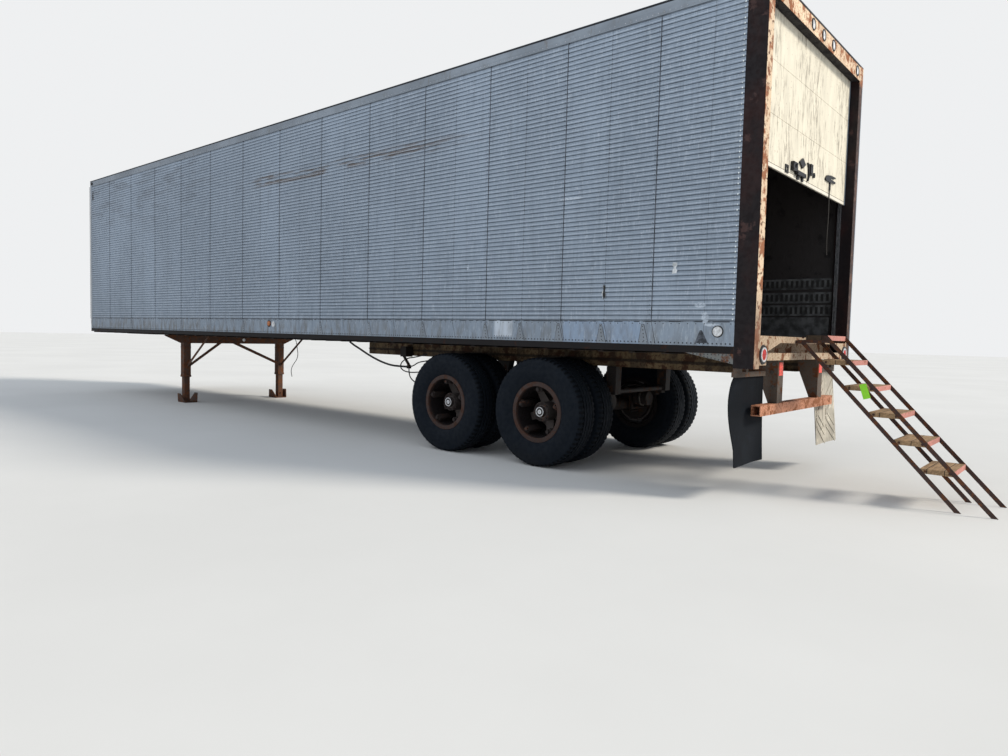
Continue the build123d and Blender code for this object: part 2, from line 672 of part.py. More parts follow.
# Leaf springs: four leaves each, bowed down over the axle, with the main leaf reaching both hangers
spring_low = TYRE_RADIUS + SPRING_LIFT
spring_round = (SPRING_HALF**2 + SPRING_BOW**2) / (2 * SPRING_BOW)


def rise(reach):
    """How far a leaf, bent to the springs' one round, stands up at a distance from its axle."""
    return spring_round - math.sqrt(spring_round**2 - reach**2)


with BuildPart() as springs:
    for place, axle_x in AXLES.items():
        for number in range(LEAVES):
            reach = SPRING_HALF * (1 - LEAF_STEP * (LEAVES - 1 - number))
            back = min(reach, SPRING_TAIL) if place == "rear" else reach
            low = spring_low + number * LEAF_THICK
            with BuildSketch(along(RAIL_Y + LEAF_WIDTH / 2)):
                with BuildLine() as leaf:
                    under, over = [ThreePointArc((axle_x - back, z + rise(back)), (axle_x, z),
                                                 (axle_x + reach, z + rise(reach)))
                                   for z in (low, low + LEAF_THICK)]
                    Line(under @ 0, over @ 0)
                    Line(under @ 1, over @ 1)
                make_face()
            extrude(amount=LEAF_WIDTH)
    mirror(about=Plane.XZ)
save(springs, "leaf_springs")

# Body rails: a deep channel each side with a rib along the middle of its outer face
rail_low = beam_low - RAIL_HEIGHT
rail_face = RAIL_Y + 25
rib_z = rail_low + RIB_LIFT
with BuildPart() as body_rails:
    with BuildSketch(across(RAIL_BACK)):
        outline([(rail_face, rail_low), (rail_face, rib_z - RIB / 2), (rail_face + RIB, rib_z - RIB / 2),
                 (rail_face + RIB, rib_z + RIB / 2), (rail_face, rib_z + RIB / 2), (rail_face, beam_low),
                 (rail_face - RAIL_FLANGE, beam_low), (rail_face - RAIL_FLANGE, beam_low - RAIL_METAL),
                 (rail_face - RAIL_METAL, beam_low - RAIL_METAL),
                 (rail_face - RAIL_METAL, rail_low + RAIL_METAL),
                 (rail_face - RAIL_FLANGE, rail_low + RAIL_METAL), (rail_face - RAIL_FLANGE, rail_low)])
    extrude(amount=RAIL_FRONT - RAIL_BACK)
    mirror(about=Plane.XZ)
save(body_rails, "body_rails")

# Hangers under the body rails: rear, middle with the equalizer, and front, joined by cross tubes
main_leaf = spring_low + (LEAVES - 1) * LEAF_THICK
tip_z = main_leaf + SPRING_BOW
HANGERS = ((AXLES["rear"] - SPRING_TAIL, REAR_HANGER_HALF, 0.9, main_leaf + rise(SPRING_TAIL)),
           ((AXLES["rear"] + AXLES["front"]) / 2, 1.5 * HANGER_HALF, 0.55, tip_z),
           (AXLES["front"] + SPRING_HALF, HANGER_HALF, 0.55, tip_z))
with BuildPart() as hangers:
    for x, half, foot_share, tip in HANGERS:
        foot = half * foot_share
        foot_z = tip + LEAF_THICK + RUNNING_GAP
        with BuildSketch(along(RAIL_Y + HANGER_WIDTH / 2)):
            outline([(x - half, rail_low), (x + half, rail_low), (x + foot, foot_z), (x - foot, foot_z)])
        extrude(amount=HANGER_WIDTH)
    mirror(about=Plane.XZ)
    for x, half, foot_share, tip in HANGERS:
        round_bar(x, (-RAIL_Y, RAIL_Y), tip + TUBE_LIFT, CROSS_TUBE_RADIUS)
save(hangers, "spring_hangers")

# Brakes: each chamber lies along its bracket behind the axle and pushes the arm of the camshaft into the drum
chamber_foot = math.sqrt(AXLE_RADIUS**2 - CHAMBER_FOOT**2)
chamber_z = TYRE_RADIUS + CHAMBER_LIFT
chamber_mid = CHAMBER_Y - CHAMBER_RADIUS
backing_y = DRUM_IN - BACKING_GAP - BACKING_METAL
with BuildPart() as brakes:
    for axle_x in AXLES.values():
        cam_x = axle_x - CAM_BACK
        bar((cam_x - CHAMBER_GAP - CHAMBER_LENGTH, axle_x - chamber_foot), (CHAMBER_Y - 4, CHAMBER_Y + 8),
            (TYRE_RADIUS + CHAMBER_FOOT, chamber_z + 30))
        with BuildSketch(across(cam_x - CHAMBER_GAP)):
            with Locations((chamber_mid, chamber_z)):
                Circle(CHAMBER_RADIUS)
        extrude(amount=-CHAMBER_LENGTH)
        with BuildSketch(across(cam_x - CHAMBER_GAP)):
            with Locations((chamber_mid, chamber_z)):
                Circle(CAM_RADIUS / 2)
        extrude(amount=CHAMBER_GAP)
        round_bar(cam_x, (chamber_mid - CAM_RADIUS, backing_y), TYRE_RADIUS - CAM_DROP, CAM_RADIUS)
        bar((cam_x - CAM_RADIUS, cam_x + CAM_RADIUS), (chamber_mid - CAM_RADIUS, chamber_mid + CAM_RADIUS),
            (TYRE_RADIUS - CAM_DROP, chamber_z + CAM_RADIUS))
    mirror(about=Plane.XZ)
save(brakes, "brake_chambers")

# Radius rods from each hanger to the axle behind it
ROD_HALF = 20
with BuildPart() as radius_rods:
    for x, axle_x in ((HANGERS[1][0], AXLES["rear"]), (HANGERS[2][0], AXLES["front"])):
        tube_back, tube_z = x - CROSS_TUBE_RADIUS, tip_z + TUBE_LIFT
        axle_front = axle_x + AXLE_RADIUS
        with BuildSketch(along(ROD_Y + ROD_HALF)):
            outline([(tube_back, tube_z + ROD_HALF), (tube_back, tube_z - ROD_HALF),
                     (axle_front, TYRE_RADIUS - ROD_HALF), (axle_front, TYRE_RADIUS + ROD_HALF)])
        extrude(amount=2 * ROD_HALF)
    mirror(about=Plane.XZ)
save(radius_rods, "radius_rods")

# Bumper: a square tube on two tapered channel uprights that hang from the sill
with BuildPart() as bumper:
    bar((BUMPER_X, BUMPER_X + BUMPER_DEPTH), (-BUMPER_HALF, BUMPER_HALF), (BUMPER_LOW, BUMPER_TOP))
    bar((BUMPER_X + POST_METAL, BUMPER_X + BUMPER_DEPTH - POST_METAL), (-BUMPER_HALF, BUMPER_HALF),
        (BUMPER_LOW + POST_METAL, BUMPER_TOP - POST_METAL), Mode.SUBTRACT)
save(bumper, "bumper")

with BuildPart() as uprights:
    for sign in SIDES.values():
        outer = UPRIGHT_Y + UPRIGHT_WIDTH / 2
        inner = outer - UPRIGHT_WIDTH
        bar((BUMPER_X, BUMPER_X + POST_METAL), sorted((sign * outer, sign * inner)),
            (BUMPER_TOP, SILL_LOW - POST_METAL))
        for flange in (outer, inner + POST_METAL):
            with BuildSketch(along(max(sign * flange, sign * (flange - POST_METAL)))):
                outline([(BUMPER_X, BUMPER_TOP), (BUMPER_X + BUMPER_DEPTH, BUMPER_TOP),
                         (BUMPER_X + UPRIGHT_TOP_DEPTH, SILL_LOW - 90),
                         (BUMPER_X + UPRIGHT_TOP_DEPTH, SILL_LOW - POST_METAL),
                         (BUMPER_X, SILL_LOW - POST_METAL)])
            extrude(amount=POST_METAL)
save(uprights, "bumper_uprights")

# Mud flaps and the bars that they hang from
with BuildPart() as flap_brackets:
    for sign in SIDES.values():
        bracket_out = sign * (half_width - 4)
        bar((FLAP_X - 20, FLAP_X + 20), sorted((sign * (FLAP_Y - FLAP_HALF), bracket_out)),
            (FLAP_TOP, FLAP_TOP + 40))
        bar((FLAP_X - 20, POST_DEPTH), sorted((sign * opening_half, bracket_out)),
            (FLAP_TOP + 40, POST_BOTTOM))
        bar((FLAP_X - 20, POST_DEPTH), sorted((sign * 990, sign * 1030)), (FLAP_TOP + 40, SILL_LOW - 44))
save(flap_brackets, "flap_brackets")

with BuildPart() as flaps:
    for sign, curl in FLAP_CURLS:
        inner, outer = sign * (FLAP_Y - FLAP_HALF), sign * (FLAP_Y + FLAP_HALF - 15)
        with BuildSketch(level(FLAP_BOTTOM)):
            with BuildLine() as flap_plan:
                back, front = [ThreePointArc((face, inner), (face - curl, (inner + outer) / 2), (face, outer))
                               for face in (FLAP_X - FLAP_THICK / 2, FLAP_X + FLAP_THICK / 2)]
                Line(back @ 0, front @ 0)
                Line(back @ 1, front @ 1)
            make_face()
        extrude(amount=FLAP_TOP - FLAP_BOTTOM)
save(flaps, "mud_flaps")

# Landing gear: a boxed cross-beam, a telescoping leg at each end, braces and sand shoes
plate_out = LEG_WIDTH / 2 + POST_METAL
with BuildPart() as landing_beam:
    for x in (LEG_X - plate_out, LEG_X + LEG_WIDTH / 2):
        with BuildSketch(across(x)):
            outline([(-BEAM_END, beam_low), (BEAM_END, beam_low), (BEAM_END, beam_low - 14),
                     (LEG_Y + 60, LANDING_LOW), (-LEG_Y - 60, LANDING_LOW), (-BEAM_END, beam_low - 14)])
            with Locations((-130, (LANDING_LOW + beam_low) / 2)):
                Circle(26, mode=Mode.SUBTRACT)
        extrude(amount=POST_METAL)
    bar((LEG_X - LEG_WIDTH / 2, LEG_X + LEG_WIDTH / 2), (-LEG_Y + LEG_WIDTH / 2, LEG_Y - LEG_WIDTH / 2),
        (LANDING_LOW, LANDING_LOW + POST_METAL))
save(landing_beam, "landing_beam")

for side, sign in SIDES.items():
    with BuildPart() as leg:
        for half, low, high in ((LEG_WIDTH / 2, LEG_OUTER_LOW, beam_low),
                                (LEG_INNER / 2, SHOE_TOP, LEG_OUTER_LOW)):
            bar((LEG_X - half, LEG_X + half), (sign * LEG_Y - half, sign * LEG_Y + half), (low, high))
    save(leg, f"{side}_landing_leg")

# Shoes: a pad whose two ends are turned up to a narrow tip, with the socket that holds the leg's foot
with BuildPart() as shoes:
    for sign in SIDES.values():
        y = sign * (LEG_Y - SHOE_SHIFT)
        with BuildSketch(across(LEG_X - SHOE_HALF)):
            outline([(y - SHOE_REACH, SHOE_RISE), (y - SHOE_FOLD, 0), (y + SHOE_FOLD, 0),
                     (y + SHOE_REACH, SHOE_RISE), (y + SHOE_REACH - SHOE_METAL, SHOE_RISE),
                     (y + SHOE_FOLD - SHOE_METAL, SHOE_METAL), (y - SHOE_FOLD + SHOE_METAL, SHOE_METAL),
                     (y - SHOE_REACH + SHOE_METAL, SHOE_RISE)])
        extrude(amount=2 * SHOE_HALF)
        for end in (-1, 1):
            tip_y = y + end * SHOE_REACH
            with BuildSketch(along(max(tip_y, tip_y - end * (SHOE_REACH - SHOE_FOLD)))):
                for edge in (-1, 1):
                    outline([(LEG_X + edge * SHOE_HALF, SHOE_METAL), (LEG_X + edge * SHOE_HALF, SHOE_RISE),
                             (LEG_X + edge * SHOE_TIP, SHOE_RISE)])
            extrude(amount=SHOE_REACH - SHOE_FOLD, mode=Mode.SUBTRACT)
        bar((LEG_X - LEG_INNER / 2, LEG_X + LEG_INNER / 2),
            (sign * LEG_Y - LEG_INNER / 2, sign * LEG_Y + LEG_INNER / 2), (SHOE_METAL, SHOE_TOP))
save(shoes, "sand_shoes")

# Braces: two that meet on the beam, left of its middle, and one back from each leg
brace_back = LEG_X - plate_out
with BuildPart() as braces:
    for sign in SIDES.values():
        with BuildSketch(across(brace_back - BRACE_METAL)):
            foot = sign * (LEG_Y - LEG_WIDTH / 2 + 40)
            outline([(foot, BRACE_FOOT_Z - 20), (foot, BRACE_FOOT_Z + 30), (BRACE_APEX, LANDING_LOW + 110),
                     (BRACE_APEX, LANDING_LOW + 55)])
        extrude(amount=BRACE_METAL)
        with BuildSketch(along(sign * LEG_Y + BRACE_METAL / 2)):
            outline([(brace_back + POST_METAL, BRACE_FOOT_Z - 20),
                     (brace_back + POST_METAL, BRACE_FOOT_Z + 30),
                     (LEG_X - BRACE_REACH, beam_low), (LEG_X - BRACE_REACH - 60, beam_low)])
        extrude(amount=BRACE_METAL)
save(braces, "landing_braces")

# Side lamps and reflectors on the skirt and on the top rail's ends, both sides alike
rail_lamp_z = ROOF_TOP - RAIL_LAMP_DROP
rail_lamps = [(x, rail_lamp_z, RAIL_LAMP_RADIUS, 0, RAIL_LAMP_OUT)
              for x in (RAIL_LAMP_BACK, BODY_LENGTH - RAIL_LAMP_FRONT)]
with BuildPart() as side_lamps:
    for sign in SIDES.values():
        for x, z, radius, seat, out in (*SKIRT_LAMPS, *rail_lamps):
            round_bar(x, sorted((sign * (half_width - seat), sign * (half_width + out))), z, radius)
save(side_lamps, "side_lamps")

# Slotted cargo rails along both walls inside
with BuildPart() as cargo_rails:
    for z in CARGO_RAILS:
        bar((CARGO_BACK, NOSE_BACK - 200), (inner_y - CARGO_METAL, inner_y), (z - CARGO_HALF, z + CARGO_HALF))
    mirror(about=Plane.XZ)
save(cargo_rails, "cargo_rails")

# Boarding steps: two chords a side, cut square at the ground, hooked over a rod on the sill
with BuildPart() as hinge_rod:
    round_bar(HINGE_X, (STEP_FAR_Y - 24, STEP_NEAR_Y + 24), HINGE_Z, HINGE_ROD)
    for y in (STEP_FAR_Y - 24, STEP_NEAR_Y + 16):
        bar((HINGE_X - 14, 0), (y, y + 8), (HINGE_Z - 14, HINGE_Z + 14))
save(hinge_rod, "step_hinge_rod")


def chord(top_x, top_z, width):
    """Side view of a chord that runs down its slope from a level top to the ground."""
    run = top_z / math.tan(slope)
    across_width = width / math.sin(slope)
    return [(top_x, top_z), (top_x + across_width, top_z), (top_x + across_width - run, 0), (top_x - run, 0)]


hook_top = HINGE_Z + HINGE_OVERRUN
hook_x = HINGE_X + HINGE_OVERRUN / math.tan(slope) - STEP_ANGLE / math.sin(slope) / 2
with BuildPart() as step_rails:
    for y in (STEP_FAR_Y, STEP_NEAR_Y - STEP_METAL):
        with BuildSketch(along(y + STEP_METAL)):
            outline(chord(-STEP_BACK, STEP_TOP, STEP_ANGLE))
            outline(chord(hook_x, hook_top, STEP_ANGLE))
            outline([(-STEP_BACK, STEP_TOP - TREAD_THICK), (hook_x, STEP_TOP - TREAD_THICK),
                     (hook_x, STEP_TOP - TREAD_THICK - 22), (-STEP_BACK, STEP_TOP - TREAD_THICK - 22)])
            with Locations((HINGE_X, HINGE_Z)):
                Circle(HINGE_ROD + RUNNING_GAP, mode=Mode.SUBTRACT)
        extrude(amount=STEP_METAL)
save(step_rails, "step_rails")

between_rails = (STEP_FAR_Y + STEP_METAL, STEP_NEAR_Y - STEP_METAL)
with BuildPart() as treads:
    for number in range(STEP_TREADS):
        top = STEP_TOP - number * STEP_RISE
        back = -STEP_BACK - number * STEP_RISE / math.tan(slope)
        front = back + STEP_DEPTH if number else TOP_TREAD_FRONT
        bar((back + STEP_METAL, front), between_rails, (top - TREAD_THICK, top))
save(treads, "step_treads")

with BuildPart() as nosings:
    for number in range(STEP_TREADS):
        top = STEP_TOP - number * STEP_RISE
        back = -STEP_BACK - number * STEP_RISE / math.tan(slope)
        bar((back, back + STEP_METAL), between_rails, (top - NOSING, top))
save(nosings, "step_nosings")

# Hose bracket: a block on the left body rail, and the carrier that hangs from it to a junction
HOSE_Y = 620
BRACKET_FRONT = 4600
BRACKET_BACK = 4500
JUNCTION_X = 4466
JUNCTION_Z = 822
JUNCTION_HALF = 20
with BuildPart() as hose_bracket:
    bar((BRACKET_BACK, BRACKET_FRONT), (rail_face + RIB, HOSE_Y + 24), (rail_low - 12, rail_low + 110))
    with BuildSketch(along(HOSE_Y + 14)):
        outline([(BRACKET_BACK + 40, rail_low - 12), (BRACKET_BACK + 68, rail_low - 12),
                 (JUNCTION_X + 14, JUNCTION_Z + JUNCTION_HALF),
                 (JUNCTION_X - 14, JUNCTION_Z + JUNCTION_HALF)])
    extrude(amount=28)
    bar(*[(middle - JUNCTION_HALF, middle + JUNCTION_HALF) for middle in (JUNCTION_X, HOSE_Y, JUNCTION_Z)])
save(hose_bracket, "hose_bracket")


# Hoses and ropes, each a round tube along straight runs and wide tangent arcs
def cord(name, diameter, points):
    """Writes one free cord through `points` and prints its bend radii and its volume against its length's."""
    route = [Vector(REAR_X + x, y, z) for x, y, z in points]
    radii = []
    for before, corner, after in zip(route, route[1:], route[2:]):
        turn = math.radians((corner - before).get_angle(after - corner))
        shorter = min((corner - before).length, (after - corner).length)
        radii.append(0.45 * shorter / math.tan(turn / 2))
    with BuildPart() as tube:
        with BuildLine() as path:
            FilletPolyline(*route, radius=radii)
        with BuildSketch(Plane(origin=path.line @ 0, z_dir=path.line % 0)):
            Circle(diameter / 2)
        sweep()
    length = path.wire().length
    print(name, "length", round(length), "tightest", round(min(radii)), "volume share",
          round(tube.part.volume / (math.pi * diameter**2 / 4 * length), 4))
    save(tube, name)


HOSE_MAIN = 24
HOSE_LINE = 14
HOSE_THIN = 12
ROPE = 9
inlet = JUNCTION_X + JUNCTION_HALF + RUNNING_GAP
outlet = JUNCTION_X - JUNCTION_HALF - RUNNING_GAP
clip_y = rail_face + HOSE_LINE / 2 + RUNNING_GAP
hanger_clip_y = RAIL_Y + (HANGER_WIDTH + HOSE_LINE) / 2 + RUNNING_GAP
cord("supply_hose", HOSE_MAIN, [
    (5650, 600, beam_low - HOSE_MAIN / 2 - RUNNING_GAP), (5585, 604, 1066), (5430, 610, 1012),
    (5230, 616, 935), (5010, 620, 868), (4800, 620, 826), (4630, 620, JUNCTION_Z), (inlet, 620, JUNCTION_Z)])
cord("upper_hose", HOSE_LINE, [
    (outlet, 620, 830), (4400, 620, 830), (4305, 620, 884), (4190, 614, 902),
    (4080, 600, 922), (4000, 572, 950), (3940, clip_y, 985)])
cord("loop_hose", HOSE_LINE, [
    (4240, clip_y, 985), (4300, 565, 962), (4420, 586, 938), (4530, 590, 924), (4625, 594, 880),
    (4660, 594, 815), (4600, 594, 768), (4480, 592, 752), (4340, 590, 762), (4200, 588, 782),
    (4080, 580, 800), (3990, 566, 800), (3925, hanger_clip_y, 790)])
cord("tail_hose", HOSE_LINE, [
    (JUNCTION_X, 620, JUNCTION_Z - JUNCTION_HALF - RUNNING_GAP), (JUNCTION_X, 620, 760), (4440, 620, 690),
    (4360, 616, 640), (4250, 610, 622), (4140, 600, 640), (4040, 585, 690), (3970, 568, 735),
    (3915, hanger_clip_y, 750)])
cord("drop_hose", HOSE_THIN, [
    (9262, -884, beam_low - HOSE_THIN / 2 - RUNNING_GAP), (9200, -884, 1098), (9150, -884, 1040),
    (9112, -884, 900), (9090, -884, 800), (9130, -884, 710), (9215, -884, 640), (9290, -884, 560),
    (9310, -884, 480), (9275, -884, 400)])
rope_x = DOOR_SETBACK - ROPE / 2 - RUNNING_GAP
cord("pull_rope", ROPE, [
    (rope_x, -600, door_edge + 60), (rope_x, -600, door_edge - 60), (rope_x - 5, -590, door_edge - 180),
    (rope_x - 4, -583, door_edge - 300), (rope_x, -588, door_edge - 420),
    (rope_x - 3, -602, door_edge - 535)])
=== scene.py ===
"""A weathered fluted van semi trailer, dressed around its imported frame."""

import json
import math

import bpy
from mathutils import Euler, Matrix, Vector


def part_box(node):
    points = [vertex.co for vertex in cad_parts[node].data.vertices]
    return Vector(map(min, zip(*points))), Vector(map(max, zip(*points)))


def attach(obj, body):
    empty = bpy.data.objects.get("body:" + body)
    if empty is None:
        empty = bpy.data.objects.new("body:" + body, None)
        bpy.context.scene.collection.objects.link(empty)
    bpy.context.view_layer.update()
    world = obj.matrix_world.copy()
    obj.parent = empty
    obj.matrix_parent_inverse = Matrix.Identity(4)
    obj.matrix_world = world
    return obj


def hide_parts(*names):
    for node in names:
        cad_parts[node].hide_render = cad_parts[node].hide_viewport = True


bl_info = {
    "name": "Semi trailer",
    "version": (1, 0, 0),
    "blender": (4, 5, 0),
    "location": "3D View > Sidebar > Semi trailer",
    "description": "Dresses a fluted van semi trailer around its frame",
    "category": "Add Mesh",
}

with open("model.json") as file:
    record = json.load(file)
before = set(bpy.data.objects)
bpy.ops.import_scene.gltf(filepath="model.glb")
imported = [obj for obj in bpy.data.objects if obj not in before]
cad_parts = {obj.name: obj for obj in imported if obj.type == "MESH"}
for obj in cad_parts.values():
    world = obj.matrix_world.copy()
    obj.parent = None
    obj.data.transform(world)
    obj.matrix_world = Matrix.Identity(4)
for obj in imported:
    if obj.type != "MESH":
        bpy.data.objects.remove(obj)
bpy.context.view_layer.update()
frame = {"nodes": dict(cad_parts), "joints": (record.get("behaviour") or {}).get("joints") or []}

# Places read from the frame, in metres
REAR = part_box("left_rear_post")[0].x
HALF_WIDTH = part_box("left_side_wall")[1].y
SKIRT_Y = HALF_WIDTH - 0.002
SKIRT_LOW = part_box("left_side_wall")[0].z
WALL_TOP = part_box("left_side_wall")[1].z
WALL_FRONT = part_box("left_side_wall")[1].x
ROOF_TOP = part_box("roof")[1].z
FLOOR_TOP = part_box("floor")[1].z
NOSE_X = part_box("nose_wall")[1].x
OPENING_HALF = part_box("rear_header")[1].y
RAIL_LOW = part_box("body_rails")[0].z
WHEELS = {joint["child"]: Vector(joint["pos_m"]) for joint in frame["joints"] if joint.get("continuous")}
AXLES = sorted({round(centre.x, 4) for centre in WHEELS.values()})
SIDES = (1, -1)

# Sizes that the boxes don't tell, in metres and degrees; lamps on the side are x forward of the rear face and height
POST_DEPTH = 0.16
SKIRT_TOP = 1.37
AMBER_LAMP = (6.587, 1.312)
REAR_REFLECTOR = (0.293, 1.296)
TAIL_LAMP_Y, TAIL_LAMP_Z = 1.045, 1.128
HEADER_LAMPS = (-1.016, -0.27, 0, 0.27, 1.016)
TYRE_RADIUS = 0.515
SHOULDER_RADIUS = 0.49
TYRE_MIDDLES = (1.06, 0.74)
HUB_FACE = 1.085
STUD_CIRCLE, STUDS, SPOKES = 0.077, 8, 5
CLAMP_IN, CLAMP_OUT = 0.955, 1.14
RIM_OUT, RIM_BACK = 1.1626, 0.6374
FLAP_INNER, FLAP_WIDTH, FLAP_TOP, FLAP_DROP = 0.625, 0.585, 0.95, 0.69
FLAP_WALL = {"thickness": 0.008, "offset": 0}
UPRIGHT_Y, UPRIGHT_HALF = 0.51, 0.06
SLOT_PITCH, SLOTS = 0.0508, 240
KICK_PITCH, KICK_PANELS = 1.215, 10
SPRING_Y = 0.5
LEG_X, LEG_Y, LEG_HALF = 9.67, 0.87, 0.0655
STEP_COUNT, STEP_RISE, STEP_TOP, STEP_BACK, STEP_ANGLE = 6, 0.198, 1.29, -0.245, 46.5

# Camera, solved from the photograph: its place behind the rear face, its turn and its focal length in pixels
CAMERA_PLACE = (-2.069, 6.481, 1.218)
CAMERA_TURN = (-49.434, -3.307, 1.42)
CAMERA_FOCAL = 719.69
PHOTO_WIDTH = 1008
SENSOR = 36

# Free hoses and the door's rope: diameter, and points of x forward of the rear face, y and z, in metres
ROUTES = {
    "supply_hose": (0.024, [
        (5.65, 0.6, 1.0967), (5.585, 0.604, 1.066), (5.43, 0.61, 1.012), (5.23, 0.616, 0.935), (5.01, 0.62, 0.868),
        (4.8, 0.62, 0.826), (4.63, 0.62, 0.822), (4.4863, 0.62, 0.822)]),
    "upper_hose": (0.014, [
        (4.4457, 0.62, 0.83), (4.4, 0.62, 0.83), (4.305, 0.62, 0.884), (4.19, 0.614, 0.902), (4.08, 0.6, 0.922),
        (4.0, 0.572, 0.95), (3.94, 0.5323, 0.985)]),
    "loop_hose": (0.014, [
        (4.24, 0.5323, 0.985), (4.3, 0.565, 0.962), (4.42, 0.586, 0.938), (4.53, 0.59, 0.924), (4.625, 0.594, 0.88),
        (4.66, 0.594, 0.815), (4.6, 0.594, 0.768), (4.48, 0.592, 0.752), (4.34, 0.59, 0.762), (4.2, 0.588, 0.782),
        (4.08, 0.58, 0.8), (3.99, 0.566, 0.8), (3.925, 0.5553, 0.79)]),
    "tail_hose": (0.014, [
        (4.466, 0.62, 0.8017), (4.466, 0.62, 0.76), (4.44, 0.62, 0.69), (4.36, 0.616, 0.64), (4.25, 0.61, 0.622),
        (4.14, 0.6, 0.64), (4.04, 0.585, 0.69), (3.97, 0.568, 0.735), (3.915, 0.5553, 0.75)]),
    "drop_hose": (0.012, [
        (9.262, -0.884, 1.1027), (9.2, -0.884, 1.098), (9.15, -0.884, 1.04), (9.112, -0.884, 0.9), (9.09, -0.884, 0.8),
        (9.13, -0.884, 0.71), (9.215, -0.884, 0.64), (9.29, -0.884, 0.56), (9.31, -0.884, 0.48), (9.275, -0.884, 0.4)]),
    "pull_rope": (0.009, [
        (0.0752, -0.6, 2.645), (0.0752, -0.6, 2.525), (0.0702, -0.59, 2.405), (0.0712, -0.583, 2.285),
        (0.0752, -0.588, 2.165), (0.0722, -0.602, 2.05)]),
}


class TrailerSizes(bpy.types.PropertyGroup):
    """Sizes that a user would change."""

    panel_pitch: bpy.props.FloatProperty(
        name="Panel pitch", description="Width of one side panel", default=0.9144, unit="LENGTH")
    first_seam: bpy.props.FloatProperty(
        name="First seam", description="Rear face to the first seam", default=0.866, unit="LENGTH")
    flute_pitch: bpy.props.FloatProperty(
        name="Flute pitch", description="Height of one flute", default=0.039, unit="LENGTH")
    seam_width: bpy.props.FloatProperty(
        name="Seam width", description="Width of a dark seam strip", default=0.009, unit="LENGTH")
    rivet_radius: bpy.props.FloatProperty(
        name="Rivet radius", description="Radius of a rivet head", default=0.0055, unit="LENGTH")
    rivet_pitch: bpy.props.FloatProperty(
        name="Rivet pitch", description="Spacing of rivets along the rails", default=0.0508, unit="LENGTH")
    tread_steps: bpy.props.IntProperty(
        name="Tread steps", description="Steps round a tyre, two to a shoulder lug", default=128)
    tread_depth: bpy.props.FloatProperty(
        name="Tread depth", description="Depth of the tyre's grooves", default=0.011, unit="LENGTH")


class TrailerColours(bpy.types.PropertyGroup):
    """Base colours of the finishes."""

    alloy: bpy.props.FloatVectorProperty(
        name="Alloy", description="Weathered side skin", size=3, subtype="COLOR", default=(0.27, 0.325, 0.395))
    alloy_clean: bpy.props.FloatVectorProperty(
        name="Plain alloy", description="Rails, roof and nose", size=3, subtype="COLOR", default=(0.33, 0.375, 0.43))
    post: bpy.props.FloatVectorProperty(
        name="Post", description="Dark rusted rear posts", size=3, subtype="COLOR", default=(0.017, 0.012, 0.014))
    cream: bpy.props.FloatVectorProperty(
        name="Cream", description="Faded paint of the rear frame", size=3, subtype="COLOR", default=(0.7, 0.54, 0.38))
    door: bpy.props.FloatVectorProperty(
        name="Door", description="Chalky door paint", size=3, subtype="COLOR", default=(0.78, 0.73, 0.6))
    rust: bpy.props.FloatVectorProperty(
        name="Rust", description="Rust on steel", size=3, subtype="COLOR", default=(0.19, 0.075, 0.035))
    rail: bpy.props.FloatVectorProperty(
        name="Rail", description="Dirty cream paint of the body rails", size=3, subtype="COLOR",
        default=(0.17, 0.118, 0.062))
    rubber: bpy.props.FloatVectorProperty(
        name="Rubber", description="Tyre rubber", size=3, subtype="COLOR", default=(0.005, 0.0078, 0.0125))
    bumper: bpy.props.FloatVectorProperty(
        name="Bumper", description="Faded red bumper", size=3, subtype="COLOR", default=(0.52, 0.24, 0.145))
    nosing: bpy.props.FloatVectorProperty(
        name="Nosing", description="Faded step edges", size=3, subtype="COLOR", default=(0.55, 0.24, 0.2))
    tag: bpy.props.FloatVectorProperty(
        name="Tag", description="Blank tag on the steps", size=3, subtype="COLOR", default=(0.3, 0.8, 0.03))


class Value:
    """Output of a node that takes arithmetic: each step is a math node, and `|` takes the larger of two masks."""

    def __init__(self, made, socket):
        self.made = made
        self.socket = socket

    def __add__(self, other):
        return self.made.math("ADD", self, other)

    def __sub__(self, other):
        return self.made.math("SUBTRACT", self, other)

    def __rsub__(self, other):
        return self.made.math("SUBTRACT", other, self)

    def __mul__(self, other):
        return self.made.math("MULTIPLY", self, other)

    def __truediv__(self, other):
        return self.made.math("DIVIDE", self, other)

    def __pow__(self, other):
        return self.made.math("POWER", self, other)

    def __or__(self, other):
        return self.made.math("MAXIMUM", self, other)

    def __abs__(self):
        return self.made.math("ABSOLUTE", self)

    def fract(self):
        return self.made.math("FRACT", self)

    def floor(self):
        return self.made.math("FLOOR", self)

    def span(self, low, high, to_low=0.0, to_high=1.0):
        """Smooth step from low to high."""
        made = self.made.node("ShaderNodeMapRange", {"interpolation_type": "SMOOTHSTEP"})
        for socket, number in zip(made.inputs, (self, low, high, to_low, to_high)):
            self.made.put(socket, number)
        return Value(self.made, made.outputs[0])

    def within(self, centre, far, close, most=1.0):
        """Mask of what lies near `centre`: nothing at the distance `far`, `most` at the distance `close`."""
        return abs(self - centre).span(far, close, 0.0, most)


